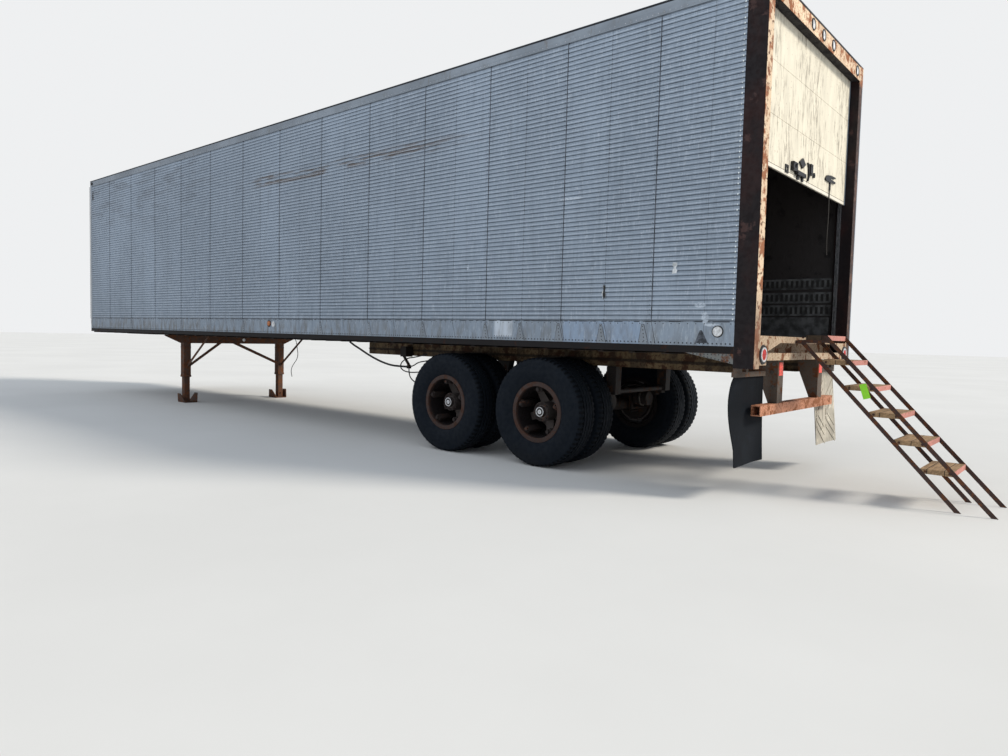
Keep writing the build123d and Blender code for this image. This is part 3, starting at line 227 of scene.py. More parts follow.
class Finish:
    """One node material, patterned on Object coordinates; coats are laid over its base one by one."""

    def __init__(self, name):
        self.material = bpy.data.materials.new(name)
        self.material.use_nodes = True
        self.tree = self.material.node_tree
        self.tree.nodes.clear()
        self.shader = self.node("ShaderNodeBsdfPrincipled")
        output = self.node("ShaderNodeOutputMaterial")
        self.tree.links.new(self.shader.outputs[0], output.inputs[0])
        self.place = Value(self, self.node("ShaderNodeTexCoord").outputs["Object"])
        axes = self.node("ShaderNodeSeparateXYZ", Vector=self.place).outputs
        self.x, self.y, self.z = (Value(self, axis) for axis in axes)
        self.base = None

    def node(self, kind, settings=None, **inputs):
        made = self.tree.nodes.new(kind)
        for name, value in (settings or {}).items():
            setattr(made, name, value)
        for name, value in inputs.items():
            self.put(made.inputs[name], value)
        return made

    def put(self, socket, value):
        if isinstance(value, Value):
            self.tree.links.new(value.socket, socket)
        elif socket.type == "RGBA":
            socket.default_value = (*value, 1)
        else:
            socket.default_value = value

    def math(self, operation, first, second=0.0, clamp=False):
        made = self.node("ShaderNodeMath", {"operation": operation, "use_clamp": clamp})
        self.put(made.inputs[0], first)
        self.put(made.inputs[1], second)
        return Value(self, made.outputs[0])

    def noise(self, scale, stretch=(1, 1, 1), detail=5.0, roughness=0.55, offset=(0, 0, 0)):
        """Noise of `scale` per metre, drawn out along an axis where `stretch` is small."""
        mapped = self.node("ShaderNodeMapping", Vector=self.place, Scale=stretch, Location=offset)
        made = self.node("ShaderNodeTexNoise", Vector=Value(self, mapped.outputs[0]), Scale=scale, Detail=detail,
                         Roughness=roughness)
        return Value(self, made.outputs["Fac"])

    def chance(self, value):
        """One chance value for each whole number."""
        made = self.node("ShaderNodeTexWhiteNoise", {"noise_dimensions": "1D"}, W=value.floor())
        return Value(self, made.outputs[0])

    def wear(self, low, high, scale, detail=8.0, offset=(0, 0, 0), stretch=(1, 1, 1)):
        """Mask of ragged patches, 1 where the surface has given way."""
        return self.noise(scale, stretch, detail, 0.62, offset).span(low, high)

    def mix(self, factor, first, second):
        made = self.node("ShaderNodeMix", {"data_type": "RGBA"})
        for number, value in ((0, factor), (6, first), (7, second)):
            self.put(made.inputs[number], value)
        return Value(self, made.outputs[2])

    def mottle(self, colour, dark, light, noise, low=0.3, high=0.7):
        """A colour that drifts with a noise between two shades of itself."""
        return self.mix(noise.span(low, high), shade(colour, dark), shade(colour, light))

    def coat(self, mask, colour):
        """Lays a colour over the base where the mask is 1."""
        self.base = self.mix(mask, self.base, colour)

    def finish(self, roughness, metallic=0.0, bump=None, strength=0.3, distance=0.002, specular=0.5):
        """The material, with its roughness, and its relief `distance` deep."""
        self.put(self.shader.inputs["Base Color"], self.base)
        self.put(self.shader.inputs["Roughness"], roughness)
        self.put(self.shader.inputs["Metallic"], metallic)
        self.shader.inputs["Specular IOR Level"].default_value = specular
        if bump is not None:
            made = self.node("ShaderNodeBump", Height=bump, Strength=strength, Distance=distance)
            self.tree.links.new(made.outputs[0], self.shader.inputs["Normal"])
        return self.material


def shade(colour, factor):
    """A colour made darker or lighter."""
    return tuple(min(1.0, channel * factor) for channel in colour)


def forward(x):
    """Row-frame x of a distance forward of the rear face."""
    return REAR + x


# Marks on the near side's skin: x forward of the rear face, height, half width, half height and colour
DARK, PALE = (0.03, 0.03, 0.034), (0.5, 0.56, 0.63)
SCARS = (
    (0.445, 1.5, 0.05, 0.022, PALE),
    (0.4, 1.4, 0.03, 0.05, PALE),
    (0.345, 1.345, 0.07, 0.012, PALE),
    (1.7, 2.45, 0.14, 0.012, PALE),
    (12.72, 3.86, 0.05, 0.05, DARK),
    (12.6, 3.63, 0.05, 0.1, DARK),
    (2.95, 1.9, 0.014, 0.03, PALE),
)


# Finishes
def fluted_skin(colours, sizes):
    """Weathered side skin: panel tones, streaks, painted shade and grime in the grooves, painted highlights on the
    flute crests, lap lines, brown scuffs, stains, a patched skirt, and inner faces painted near black as shade inside
    the body.
    """
    made = Finish("fluted_skin")
    x, y, z = made.x, made.y, made.z
    run = (x - forward(sizes.first_seam)) / sizes.panel_pitch
    made.base = made.mottle(colours.alloy, 0.86, 1.12, made.noise(0.8, (1, 1, 0.7), 4))
    made.coat(made.chance(run * 2.0) * 0.4, shade(colours.alloy, 0.8))
    made.coat(made.noise(22, (1, 1, 0.05), 6, 0.65).span(0.5, 0.7) * 0.4, shade(colours.alloy, 0.55))
    made.coat(made.noise(34, (1, 1, 0.2), 6, 0.7, (3, 1, 7)).span(0.55, 0.72) * 0.42, PALE)
    waver = z + made.noise(1.5, (1, 1, 0.2)) * 0.16
    scuff = (waver.span(3.18, 3.23) * waver.span(3.38, 3.3) * x.span(forward(2.4), forward(4.2))
             * x.span(forward(7.6), forward(6.6)) * made.wear(0.44, 0.56, 2.2, offset=(2, 0, 1), stretch=(1, 1, 12)))
    made.coat(scuff * 0.8, (0.12, 0.085, 0.06))
    stain = (z.span(2.5, 3.6) * x.span(forward(7.6), forward(9.0))
             * made.wear(0.48, 0.6, 1.6, offset=(5, 0, 2), stretch=(0.9, 1, 5)))
    made.coat(stain * 0.4, (0.11, 0.12, 0.14))
    lap = run.fract().within(0.5, 0.0036, 0.0016, 0.55)
    made.coat(lap * made.noise(9).span(0.3, 0.5), (0.05, 0.055, 0.065))
    skirt = z.span(SKIRT_TOP + 0.001, SKIRT_TOP - 0.001)
    made.coat(skirt * x.within(forward(1.36), 0.4, 0.39) * 0.6, (0.27, 0.36, 0.5))
    bright = (skirt * x.span(forward(2.34), forward(2.36)) * x.span(forward(2.6), forward(2.55)) * z.span(1.215, 1.22)
              * made.wear(0.3, 0.42, 22, stretch=(1, 1, 0.1)))
    made.coat(bright * 0.75, (0.62, 0.68, 0.76))
    low_dirt = z.span(1.5, 1.2) * made.noise(14, (1, 1, 0.3), 6).span(0.4, 0.66)
    made.coat(low_dirt * x.span(forward(3.0), forward(6.0), 0.55, 0.85), (0.15, 0.145, 0.135))
    fluted = 1.0 - skirt
    phase = ((z - SKIRT_TOP) / sizes.flute_pitch).fract()
    # Painted highlight along the upper part of each flute crest.
    crest_highlight = phase.within(0.68, 0.16, 0.04) * fluted * made.noise(7, (1, 1, 3)).span(0.3, 0.6, 0.2, 0.6)
    made.coat(crest_highlight, (0.5, 0.57, 0.66))
    made.coat(made.noise(75, (1, 1, 0.22), 4, 0.7, (9, 1, 4)).span(0.56, 0.66, 0.0, 0.4), (0.5, 0.55, 0.62))
    # Darker grooves: painted shade in the flutes' grooves, with some grime, weaker towards the front.
    groove = abs(y).span(HALF_WIDTH - 0.0022, HALF_WIDTH - 0.0056)
    groove_shade_and_grime = groove * fluted * made.noise(5).span(0.2, 0.6, 0.25, 0.68) * x.span(forward(5.0), forward(11.5), 1.0, 0.55)
    made.coat(groove_shade_and_grime, (0.07, 0.082, 0.1))
    made.coat(z.within(SKIRT_TOP, 0.005, 0.003) * made.noise(18).span(0.4, 0.5), (0.03, 0.034, 0.042))
    for place, height, wide, high, colour in SCARS:
        reach = ((x - forward(place)) / wide) ** 2.0 + ((z - height) / high) ** 2.0
        ragged = made.wear(0.42, 0.5, 45, offset=(place, 0, height))
        made.coat(reach.span(1.2, 0.5) * y.span(0.0, 0.1) * ragged, colour)
    # Inner faces painted near black, painted shade inside the body, with darker board joints and patches.
    inside = abs(y).span(HALF_WIDTH - 0.03, HALF_WIDTH - 0.04)
    board = (x / 1.2).fract().within(0.5, 0.494, 0.498)
    made.coat(inside, made.mix(board | made.wear(0.55, 0.65, 6), (0.034, 0.03, 0.03), (0.012, 0.01, 0.011)))
    rough = made.noise(40, (1, 1, 0.3)).span(0.2, 0.8, 0.4, 0.62)
    dents = made.noise(2.2) * 4.0 + made.noise(60, (1, 1, 0.4))
    return made.finish(rough, 0.5 - inside * 0.5, dents, 0.3, 0.003)


def plain_alloy(colours):
    """Rails, roof and nose: brushed and spotted, dark edges, and lap lines and painted rivet rows on nose and roof."""
    made = Finish("plain_alloy")
    x, y, z = made.x, made.y, made.z
    made.base = made.mottle(colours.alloy_clean, 0.62, 0.86, made.noise(1.4))
    made.coat(made.wear(0.52, 0.7, 12, offset=(4, 4, 4)) * 0.5, (0.18, 0.19, 0.2))
    made.coat(made.wear(0.6, 0.72, 26, offset=(1, 8, 2), stretch=(1, 1, 0.2)) * 0.5, (0.16, 0.13, 0.1))
    nose = x.span(NOSE_X - 0.004, NOSE_X - 0.002)
    roof = z.span(ROOF_TOP - 0.002, ROOF_TOP - 0.001)
    laps = made.math("ADD", nose * lines(y, 0.61, 0.007), roof * lines(x, 1.22, 0.008), True)
    heads = nose * dots(y, z, 0.305, 0.06) | roof * dots(x, y, 0.61, 0.06)
    made.coat(laps * 0.8, (0.05, 0.05, 0.055))
    made.coat(heads * 0.6, (0.5, 0.54, 0.6))
    edge = z.span(ROOF_TOP - 0.02, ROOF_TOP - 0.018) | z.span(ROOF_TOP - 0.001, ROOF_TOP)
    made.coat(edge * (1.0 - roof), (0.012, 0.014, 0.018))
    relief = made.noise(3) * 2.0 + (heads - laps)
    return made.finish(made.noise(60, (0.02, 1, 1), 4).span(0.2, 0.8, 0.38, 0.6), 0.55, relief, 0.3, 0.003)


def lines(value, pitch, width):
    """Mask of lines every `pitch` along a coordinate."""
    return (value / pitch).fract().within(0.5, width / pitch, width / pitch * 0.6)


def dots(first, second, wide, close, radius=0.01):
    """Mask of round heads in rows `wide` apart, `close` along each row."""
    squares = []
    for value, pitch in ((first, wide), (second, close)):
        reach = ((value / pitch).fract() - 0.5) * pitch
        squares.append(reach * reach)
    return (squares[0] + squares[1]).span(radius**2, (radius * 0.6) ** 2)


def painted_rust(name, paint, rust, amount, scale, change=None):
    """Old paint broken by rust, with darker pits."""
    made = Finish(name)
    fine = made.wear(amount - 0.02, amount + 0.1, scale * 6, offset=(7, 3, 5))
    cover = made.wear(amount, amount + 0.07, scale) | fine * 0.7
    made.base = made.mottle(paint, 0.78, 1.12, made.noise(3))
    made.coat(cover, made.mix(made.noise(40), shade(rust, 0.55), shade(rust, 1.5)))
    if change:
        change(made)
    relief = cover * -0.6 + made.noise(90) * 0.4
    return made.finish(cover.span(0.0, 1.0, 0.62, 0.9), 0.0, relief, 0.5, 0.0015, 0.22)


def header_shade(made):
    """Darkens the header's underside and back, and its top edge."""
    made.coat(made.noise(30, (1, 1, 0.15), 5).span(0.52, 0.66, 0.0, 0.3), (0.2, 0.12, 0.07))
    behind = made.x.span(forward(0.0015), forward(0.003))
    made.coat(behind | made.z.span(ROOF_TOP - 0.024, ROOF_TOP - 0.02), (0.014, 0.012, 0.013))


def rail_shade(made):
    """Darkens the body rail's lower half and its rib."""
    made.coat(made.noise(12, (1, 1, 0.2), 5).span(0.45, 0.6, 0.0, 0.6), (0.035, 0.025, 0.018))
    made.coat(made.z.within(RAIL_LOW + 0.067, 0.02, 0.008) * 0.8, (0.02, 0.014, 0.011))


def bore_shade(made):
    """Darkens what lies deep in the wheel."""
    made.coat(abs(made.y).span(1.166, 1.12) * 0.9, (0.008, 0.007, 0.008))


def rear_post(colours):
    """Posts: near-black maroon rust on the side, cream and peach rust on the rear face, the right post's rear face
    below the header painted in shadow, worn grey on the gusset.
    """
    made = Finish("rear_post")
    x, y, z = made.x, made.y, made.z
    blotch = made.noise(4.5, (1, 1, 0.6), 7, 0.6).span(0.4, 0.75)
    dark = made.mix(blotch, shade(colours.post, 0.6), (0.028, 0.011, 0.01))
    dark = made.mix(made.wear(0.6, 0.68, 7, offset=(3, 2, 9)) * 0.6, dark, (0.085, 0.045, 0.04))
    pale = made.mix(made.wear(0.46, 0.56, 10, offset=(0, 4, 0)), colours.cream, shade(colours.rust, 1.6))
    pale = made.mix(made.wear(0.54, 0.62, 24, offset=(5, 5, 1)), pale, shade(colours.rust, 0.5))
    low = made.mix(made.wear(0.45, 0.6, 14, offset=(2, 5, 1)), (0.16, 0.09, 0.065), shade(colours.rust, 0.4))
    pale = made.mix(z.span(1.7, 1.35, 0.0, 0.6), pale, low)
    # Painted shadow for the right post's rear face below the header; its outer 16 mm takes the blue-grey of the alloy
    # edge.
    shadow = made.mix(made.wear(0.5, 0.62, 9, offset=(2, 1, 3)), (0.05, 0.03, 0.026), (0.13, 0.07, 0.05))
    shadow = made.mix(y.span(-HALF_WIDTH + 0.02, -HALF_WIDTH + 0.016), shadow, (0.16, 0.19, 0.23))
    pale = made.mix(y.span(0.5, -0.5) * z.span(3.76, 3.7), pale, shadow)
    made.base = made.mix(x.span(forward(0.0012), forward(0.0004)), dark, pale)
    gusset = x.span(forward(POST_DEPTH - 0.001), forward(POST_DEPTH + 0.001)) * z.span(SKIRT_LOW, SKIRT_LOW - 0.002)
    worn = made.mix(made.wear(0.5, 0.62, 16, offset=(1, 6, 2)), (0.16, 0.165, 0.16), shade(colours.rust, 0.6))
    made.coat(gusset, worn)
    return made.finish(made.noise(30).span(0.3, 0.7, 0.45, 0.8), 0.0, made.noise(70), 0.35, 0.001, 0.2)


def door_paint(colours):
    """Chalky cream door with brown streaks below each joint, a seal strip, a painted sky reflection along its right
    edge, and painted shade on faces deeper inside the body.
    """
    made = Finish("door_paint")
    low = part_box("door_panels")[0].z
    made.base = made.mottle(colours.door, 1.0, 0.86, made.noise(9, (1, 1, 0.3), 5, 0.6, (2, 7, 3)), 0.35)
    dashes = made.noise(42, (1, 1, 0.14), 6, 0.7).span(0.5, 0.6)
    cloud = made.noise(2.6, (1, 1, 0.7), 4, 0.6, (6, 3, 2)).span(0.4, 0.58)
    made.coat(dashes * cloud * 0.85, (0.27, 0.235, 0.185))
    made.coat(made.noise(60, (1, 1, 0.02), 4, 0.6, (1, 1, 1)).span(0.6, 0.68) * 0.4, (0.3, 0.25, 0.19))
    made.coat(made.wear(0.63, 0.68, 34, offset=(1, 2, 6)) * 0.6, shade(colours.rust, 0.8))
    made.coat(made.z.span(low + 0.028, low + 0.027) * 0.6, (0.8, 0.76, 0.68))
    made.coat(made.z.within(low + 0.03, 0.003, 0.0015), (0.09, 0.075, 0.06))
    # Blue-grey band along the door's right edge: painted reflection of the sky.
    made.coat(made.y.span(-OPENING_HALF + 0.03, -OPENING_HALF + 0.026), (0.2, 0.25, 0.31))
    # Painted shade on the door's faces that lie deeper inside the body than its front.
    made.coat(made.x.span(forward(0.085), forward(0.099)), (0.1, 0.09, 0.075))
    return made.finish(0.7, 0.0, made.noise(30, (1, 1, 0.3)), 0.15, 0.001)


def worn_boards(name, colour, along_x, board):
    """Weathered boards: a gap between each, grain along them, and grey and dark patches."""
    made = Finish(name)
    place = (made.y if along_x else made.x) / board
    gap = place.fract().within(0.5, 0.465, 0.49)
    grain = made.noise(70, (0.06, 1, 1) if along_x else (1, 0.06, 1), 6, 0.65)
    made.base = made.mottle(colour, 0.6, 1.25, grain, 0.35)
    made.coat(made.chance(place) * 0.4, shade(colour, 0.7))
    made.coat(made.wear(0.5, 0.66, 5) * 0.5, shade(colour, 0.45))
    made.coat(gap, (0.008, 0.007, 0.006))
    made.coat(made.z.span(FLOOR_TOP - 0.03, FLOOR_TOP - 0.02, 0.0, 0.0 if along_x else 0.85), (0.02, 0.016, 0.014))
    return made.finish(0.85, 0.0, grain * 0.5 - gap, 0.5, 0.002, 0.3)


def tyre_rubber(name, colour):
    """Dusty old rubber, browner low down."""
    made = Finish(name)
    made.base = made.mix(made.noise(7, (1, 1, 1), 6).span(0.4, 0.8) * 0.15, colour, shade(colour, 2.0))
    made.coat(made.wear(0.5, 0.7, 3) * made.z.span(0.35, 0.0, 0.0, 0.28), (0.02, 0.018, 0.015))
    return made.finish(made.noise(25).span(0.3, 0.7, 0.65, 0.9), 0.0, made.noise(120), 0.25, 0.0008, 0.15)


def plain(name, colour, roughness, metallic=0.0, speckle=0.25, scale=40.0):
    """One colour with a fine mottle and a little relief."""
    made = Finish(name)
    made.base = made.mottle(colour, 1 - speckle, 1 + speckle, made.noise(scale), 0.35, 0.65)
    return made.finish(roughness, metallic, made.noise(scale * 2), 0.15, 0.0006)


def flap_rubber(name, colour, scrape):
    """Flat rubber dusted pale, scored by slanting scrapes."""
    made = Finish(name)
    leaned = made.node("ShaderNodeMapping", Vector=made.place, Rotation=(0.6, 0, 0), Scale=(1, 1, 0.06)).outputs[0]
    scored = made.node("ShaderNodeTexNoise", Vector=Value(made, leaned), Scale=45, Detail=3.0)
    scores = Value(made, scored.outputs["Fac"])
    made.base = made.mottle(colour, 0.8, 1.2, made.noise(5))
    made.coat(scores.span(0.56, 0.64) * scrape, shade(colour, 0.35))
    made.coat(made.wear(0.55, 0.65, 9) * 0.3, shade(colour, 2.4))
    return made.finish(0.75, 0.0, scores, 0.3, 0.002, 0.12)


# Plain finishes: colour, roughness, metal, share of mottle and mottle per metre
PLAIN_FINISHES = {
    "hose_rubber": ((0.012, 0.012, 0.013), 0.5),
    "rope_fibre": ((0.05, 0.045, 0.04), 0.9, 0.0, 0.25, 160),
    "latch_black": ((0.015, 0.015, 0.017), 0.45, 0.3),
    "track_steel": ((0.2, 0.205, 0.215), 0.5, 0.7),
    "pin_steel": ((0.12, 0.11, 0.1), 0.45, 0.8),
    "seam_dark": ((0.07, 0.08, 0.098), 0.6, 0.3, 0.6, 26),
    "rivet_alloy": ((0.4, 0.42, 0.45), 0.45, 0.6, 0.3, 30),
    "cap_white": ((0.62, 0.63, 0.64), 0.35, 0.3),
    "lens_white": ((0.75, 0.76, 0.78), 0.2),
    "lens_red": ((0.45, 0.02, 0.015), 0.2),
    "lens_amber": ((0.4, 0.13, 0.04), 0.25),
    "lamp_remnant": ((0.012, 0.009, 0.009), 0.5, 0.0, 0.6, 60),
    "reflector_red": ((0.75, 0.06, 0.03), 0.35),
    "bare_dark": ((0.02, 0.02, 0.02), 0.8),
    "lining_dark": ((0.06, 0.055, 0.05), 0.8, 0.1, 0.4, 6),
    "cargo_steel": ((0.13, 0.135, 0.14), 0.5, 0.4, 0.5, 12),
    "rivet_dark": ((0.035, 0.038, 0.044), 0.6, 0.3, 0.4, 30),
    "patch_white": ((0.55, 0.58, 0.6), 0.6, 0.0, 0.3, 20),
    "glint_alloy": ((0.62, 0.68, 0.76), 0.5, 0.0, 0.5, 30),
    "torn_alloy": ((0.5, 0.53, 0.56), 0.35, 0.8, 0.3, 60),
}
MATERIALS = {}


def make_finishes(colours, sizes):
    """Makes every finish and keeps it by name."""
    cream, rust, rubber = colours.cream, colours.rust, colours.rubber
    # Paint, rust, how little of it is rust, patches per metre and what else is done to it
    painted = {
        "header_faded": (shade(cream, 1.15), shade(rust, 1.6), 0.51, 8, header_shade),
        "frame_faded": (shade(cream, 0.7), shade(rust, 0.9), 0.52, 9),
        "frame_rust": ((0.008, 0.0065, 0.007), (0.03, 0.014, 0.01), 0.58, 9),
        "beam_steel": ((0.03, 0.025, 0.022), (0.06, 0.03, 0.018), 0.55, 12),
        "rail_paint": (colours.rail, (0.06, 0.028, 0.016), 0.5, 6, rail_shade),
        "bogie_steel": ((0.02, 0.017, 0.016), (0.05, 0.025, 0.015), 0.55, 14),
        "landing_steel": ((0.075, 0.05, 0.04), shade(rust, 0.7), 0.48, 14),
        "rim_rust": ((0.052, 0.035, 0.031), (0.06, 0.03, 0.021), 0.5, 16, bore_shade),
        "hub_iron": ((0.022, 0.017, 0.016), (0.06, 0.028, 0.018), 0.56, 18),
        "bumper_paint": (colours.bumper, shade(rust, 1.2), 0.5, 11),
        "step_steel": ((0.055, 0.035, 0.032), shade(rust, 0.6), 0.52, 20),
        "nosing_paint": (colours.nosing, shade(rust, 1.2), 0.58, 26),
        "upright_steel": ((0.1, 0.08, 0.065), shade(rust, 0.6), 0.54, 10),
    }
    MATERIALS["fluted_skin"] = fluted_skin(colours, sizes)
    for make in (plain_alloy, rear_post, door_paint):
        MATERIALS[make.__name__] = make(colours)
    tables = (
        (painted_rust, painted),
        (plain, PLAIN_FINISHES | {"tag_green": (colours.tag, 0.6, 0.0, 0.05)}),
        (worn_boards, {"floor_boards": ((0.11, 0.085, 0.06), True, 0.12),
                       "tread_wood": ((0.36, 0.235, 0.13), False, 0.115)}),
        (tyre_rubber, {"tyre_rubber": (rubber,), "tyre_groove": (shade(rubber, 0.4),)}),
        # Lit and shaded copies of one rubber: the near flap painted near black as in shade, the far flap painted pale
        # as in sunlight.
        (flap_rubber, {"left_flap_rubber": ((0.004, 0.006, 0.0095), 0.3),
                       "right_flap_rubber": ((0.42, 0.39, 0.33), 0.6)}),
    )
    for make, table in tables:
        for name, settings in table.items():
            MATERIALS[name] = make(name, *settings)


NODES_BY_FINISH = {
    "fluted_skin": ("left_side_wall", "right_side_wall"),
    "plain_alloy": ("nose_wall", "top_rail", "roof"),
    "frame_rust": ("bottom_rail",),
    "lining_dark": ("roof_bows",),
    "floor_boards": ("floor",),
    "beam_steel": ("crossmembers", "coupler_plate"),
    "pin_steel": ("kingpin",),
    "rear_post": ("left_rear_post", "right_rear_post"),
    "header_faded": ("rear_header",),
    "frame_faded": ("rear_sill",),
    "lens_white": ("rear_lamps", "side_lamps"),
    "door_paint": ("door_panels",),
    "track_steel": ("door_tracks", "door_hinges"),
    "latch_black": ("door_latch",),
    "bogie_steel": ("axles", "leaf_springs", "spring_hangers", "brake_chambers", "radius_rods", "hose_bracket"),
    "rail_paint": ("body_rails",),
    "bumper_paint": ("bumper",),
    "upright_steel": ("bumper_uprights", "flap_brackets"),
    "right_flap_rubber": ("mud_flaps",),
    "landing_steel": ("landing_beam", "left_landing_leg", "right_landing_leg", "sand_shoes", "landing_braces"),
    "cargo_steel": ("cargo_rails",),
    "step_steel": ("step_hinge_rod", "step_rails"),
    "tread_wood": ("step_treads",),
    "nosing_paint": ("step_nosings",),
}


# Modelling helpers
def deselect():
    """Leaves nothing selected."""
    for chosen in bpy.context.selected_objects:
        chosen.select_set(False)


def pick(*objects):
    """Selects these objects alone, the first one active."""
    deselect()
    for chosen in objects:
        chosen.select_set(True)
    bpy.context.view_layer.objects.active = objects[0]


def settle(name):
    """Names the new primitive and puts its place into its mesh."""
    made = bpy.context.object
    bpy.ops.object.transform_apply(location=True, rotation=True, scale=True)
    made.name = made.data.name = name
    return made


def block(name, low, high, bevel=0.0):
    """Square-cut block between two corners, its edges eased by `bevel`."""
    low, high = Vector(low), Vector(high)
    deselect()
    bpy.ops.mesh.primitive_cube_add(size=1, location=(low + high) / 2, scale=high - low)
    made = settle(name)
    if bevel:
        ease(made, bevel)
    return made


def modify(made, kind, **settings):
    """Applies one modifier with its settings."""
    pick(made)
    modifier = made.modifiers.new(kind, kind)
    for name, value in settings.items():
        setattr(modifier, name, value)
    bpy.ops.object.modifier_apply(modifier=modifier.name)
    return made


def ease(made, width):
    """Rounds every sharp edge."""
    modify(made, "BEVEL", width=width, segments=2, limit_method="ANGLE")


def drum(name, centre, radius, depth, axis, sides):
    """Bar of so many sides about one axis."""
    turn = {"X": (0, math.pi / 2, 0), "Y": (math.pi / 2, 0, 0), "Z": (0, 0, 0)}[axis]
    deselect()
    bpy.ops.mesh.primitive_cylinder_add(vertices=sides, radius=radius, depth=depth, location=centre, rotation=turn)
    return settle(name)


def rod(name, start, end, radius, sides=16):
    """Round bar between two points."""
    start, end = Vector(start), Vector(end)
    turn = (end - start).to_track_quat("Z", "Y").to_euler()
    deselect()
    bpy.ops.mesh.primitive_cylinder_add(vertices=sides, radius=radius, depth=(end - start).length,
                                        location=(start + end) / 2, rotation=turn)
    return settle(name)


def outlined(name, points, fill):
    """Closed outline through the points, in edit mode with all of it selected."""
    deselect()
    bpy.ops.mesh.primitive_circle_add(vertices=len(points), radius=1, fill_type=fill)
    made = settle(name)
    for vertex, point in zip(made.data.vertices, points):
        vertex.co = point
    bpy.ops.object.mode_set(mode="EDIT")
    bpy.ops.mesh.select_all(action="SELECT")
    return made


def face_out():
    """Turns every face outwards and leaves edit mode."""
    bpy.ops.mesh.select_all(action="SELECT")
    bpy.ops.mesh.normals_make_consistent(inside=False)
    bpy.ops.object.mode_set(mode="OBJECT")


def plate(name, outline, depth, bevel=0.0):
    """Flat outline of 3-D points, drawn out by the vector `depth`."""
    made = outlined(name, outline, "NGON")
    bpy.ops.mesh.extrude_region_move(TRANSFORM_OT_translate={"value": tuple(depth)})
    face_out()
    if bevel:
        ease(made, bevel)
    return made


def turned(name, profile, centre, steps=64):
    """Ring about an axis along Y: a closed section of (y, radius) points, spun round `centre`."""
    x, y, z = centre
    made = outlined(name, [(x, y + out, z + radius) for out, radius in profile], "NOTHING")
    bpy.ops.mesh.spin(steps=steps, angle=2 * math.pi, center=tuple(centre), axis=(0, 1, 0))
    bpy.ops.mesh.select_all(action="SELECT")
    bpy.ops.mesh.remove_doubles(threshold=0.00005)
    face_out()
    return made


def choose(made, kind, chosen):
    """Edit mode with those vertices or faces selected for which `chosen` holds."""
    pick(made)
    bpy.ops.object.mode_set(mode="EDIT")
    bpy.ops.mesh.select_mode(type=kind)
    bpy.ops.mesh.select_all(action="DESELECT")
    bpy.ops.object.mode_set(mode="OBJECT")
    for one in made.data.vertices if kind == "VERT" else made.data.polygons:
        one.select = chosen(one)
    bpy.ops.object.mode_set(mode="EDIT")


def repeat(made, count, step):
    """Row of copies along the vector `step`, as one mesh."""
    return modify(made, "ARRAY", count=count, use_relative_offset=False, use_constant_offset=True,
                  constant_offset_displace=step)


def copy_of(made, name, offset=(0, 0, 0), mirror_y=False, turn=None, about=(0, 0, 0)):
    """Copy with its own mesh, moved, turned or mirrored across the trailer's middle."""
    twin = made.copy()
    twin.data = made.data.copy()
    twin.name = twin.data.name = name
    bpy.context.scene.collection.objects.link(twin)
    if turn is not None:
        twin.data.transform(Matrix.Translation(about) @ turn @ Matrix.Translation(-Vector(about)))
    twin.data.transform(Matrix.Translation(offset))
    if mirror_y:
        twin.data.transform(Matrix.Scale(-1, 4, (0, 1, 0)))
        twin.data.flip_normals()
    return twin


def join(name, parts):
    """Joins several pieces into one."""
    pick(*parts)
    bpy.ops.object.join()
    made = bpy.context.object
    made.name = made.data.name = name
    return made


def both_sides(made):
    """Adds the mirrored twin across the trailer's middle to the same piece."""
    return join(made.name, [made, copy_of(made, made.name + "_twin", mirror_y=True)])


def dress(made, finish, body="trailer", smooth=None):
    """Gives a finished piece its material, slot and body; a piece that has its materials keeps them."""
    if finish:
        made.data.materials.clear()
        made.data.materials.append(MATERIALS[finish])
    if smooth is not None:
        pick(made)
        bpy.ops.object.shade_smooth_by_angle(angle=math.radians(smooth))
    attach(made, body)
    return made


def trim(name, parts, finish, smooth=None, mirror=True):
    """Joins parts into one dressed piece of the trailer's body, on both sides if `mirror`."""
    made = join(name, parts)
    return dress(both_sides(made) if mirror else made, finish, smooth=smooth)


def rivet(name, place, radius):
    """Domed rivet head of a few faces, its flat side on `place`."""
    deselect()
    bpy.ops.mesh.primitive_ico_sphere_add(subdivisions=1, radius=radius, location=place)
    made = settle(name)
    flatten = Matrix.Scale(0.45, 4, (0, 1, 0))
    made.data.transform(Matrix.Translation(place) @ flatten @ Matrix.Translation(-Vector(place)))
    return made


def bolt(name, place, radius, height, axis="Y", sign=1):
    """Hexagon head on a washer, standing out along the axis towards `sign`."""
    vector = sign * {"X": Vector((1, 0, 0)), "Y": Vector((0, 1, 0)), "Z": Vector((0, 0, 1))}[axis]
    washer = drum(name + "_washer", Vector(place) + vector * height * 0.1, radius * 1.35, height * 0.3, axis, 16)
    head = drum(name, Vector(place) + vector * height * 0.5, radius, height, axis, 6)
    return join(name, [head, washer])


def bolts(name, places, radius, height, axis="Y", sign=1):
    """One piece of bolts at several places."""
    return join(name, [bolt(name, place, radius, height, axis, sign) for place in places])


def disc(name, place, profile, axis="Y", sign=1, steps=32):
    """Turned shape standing on a face: (out, radius) points round an axis along Y, or along X for the rear face."""
    made = turned(name, [(sign * out, radius) for out, radius in profile], (0, 0, 0), steps)
    turn = Matrix.Rotation(math.radians(90 if axis == "X" else 0), 4, "Z")
    moved = copy_of(made, name, place, turn=turn)
    bpy.data.objects.remove(made)
    return moved


class Maker(bpy.types.Operator):
    """Base of the trailer's operators."""

    bl_options = {"REGISTER", "UNDO"}

    def execute(self, context):
        self.make(context.scene.trailer_sizes, context.scene.trailer_colours)
        return {"FINISHED"}


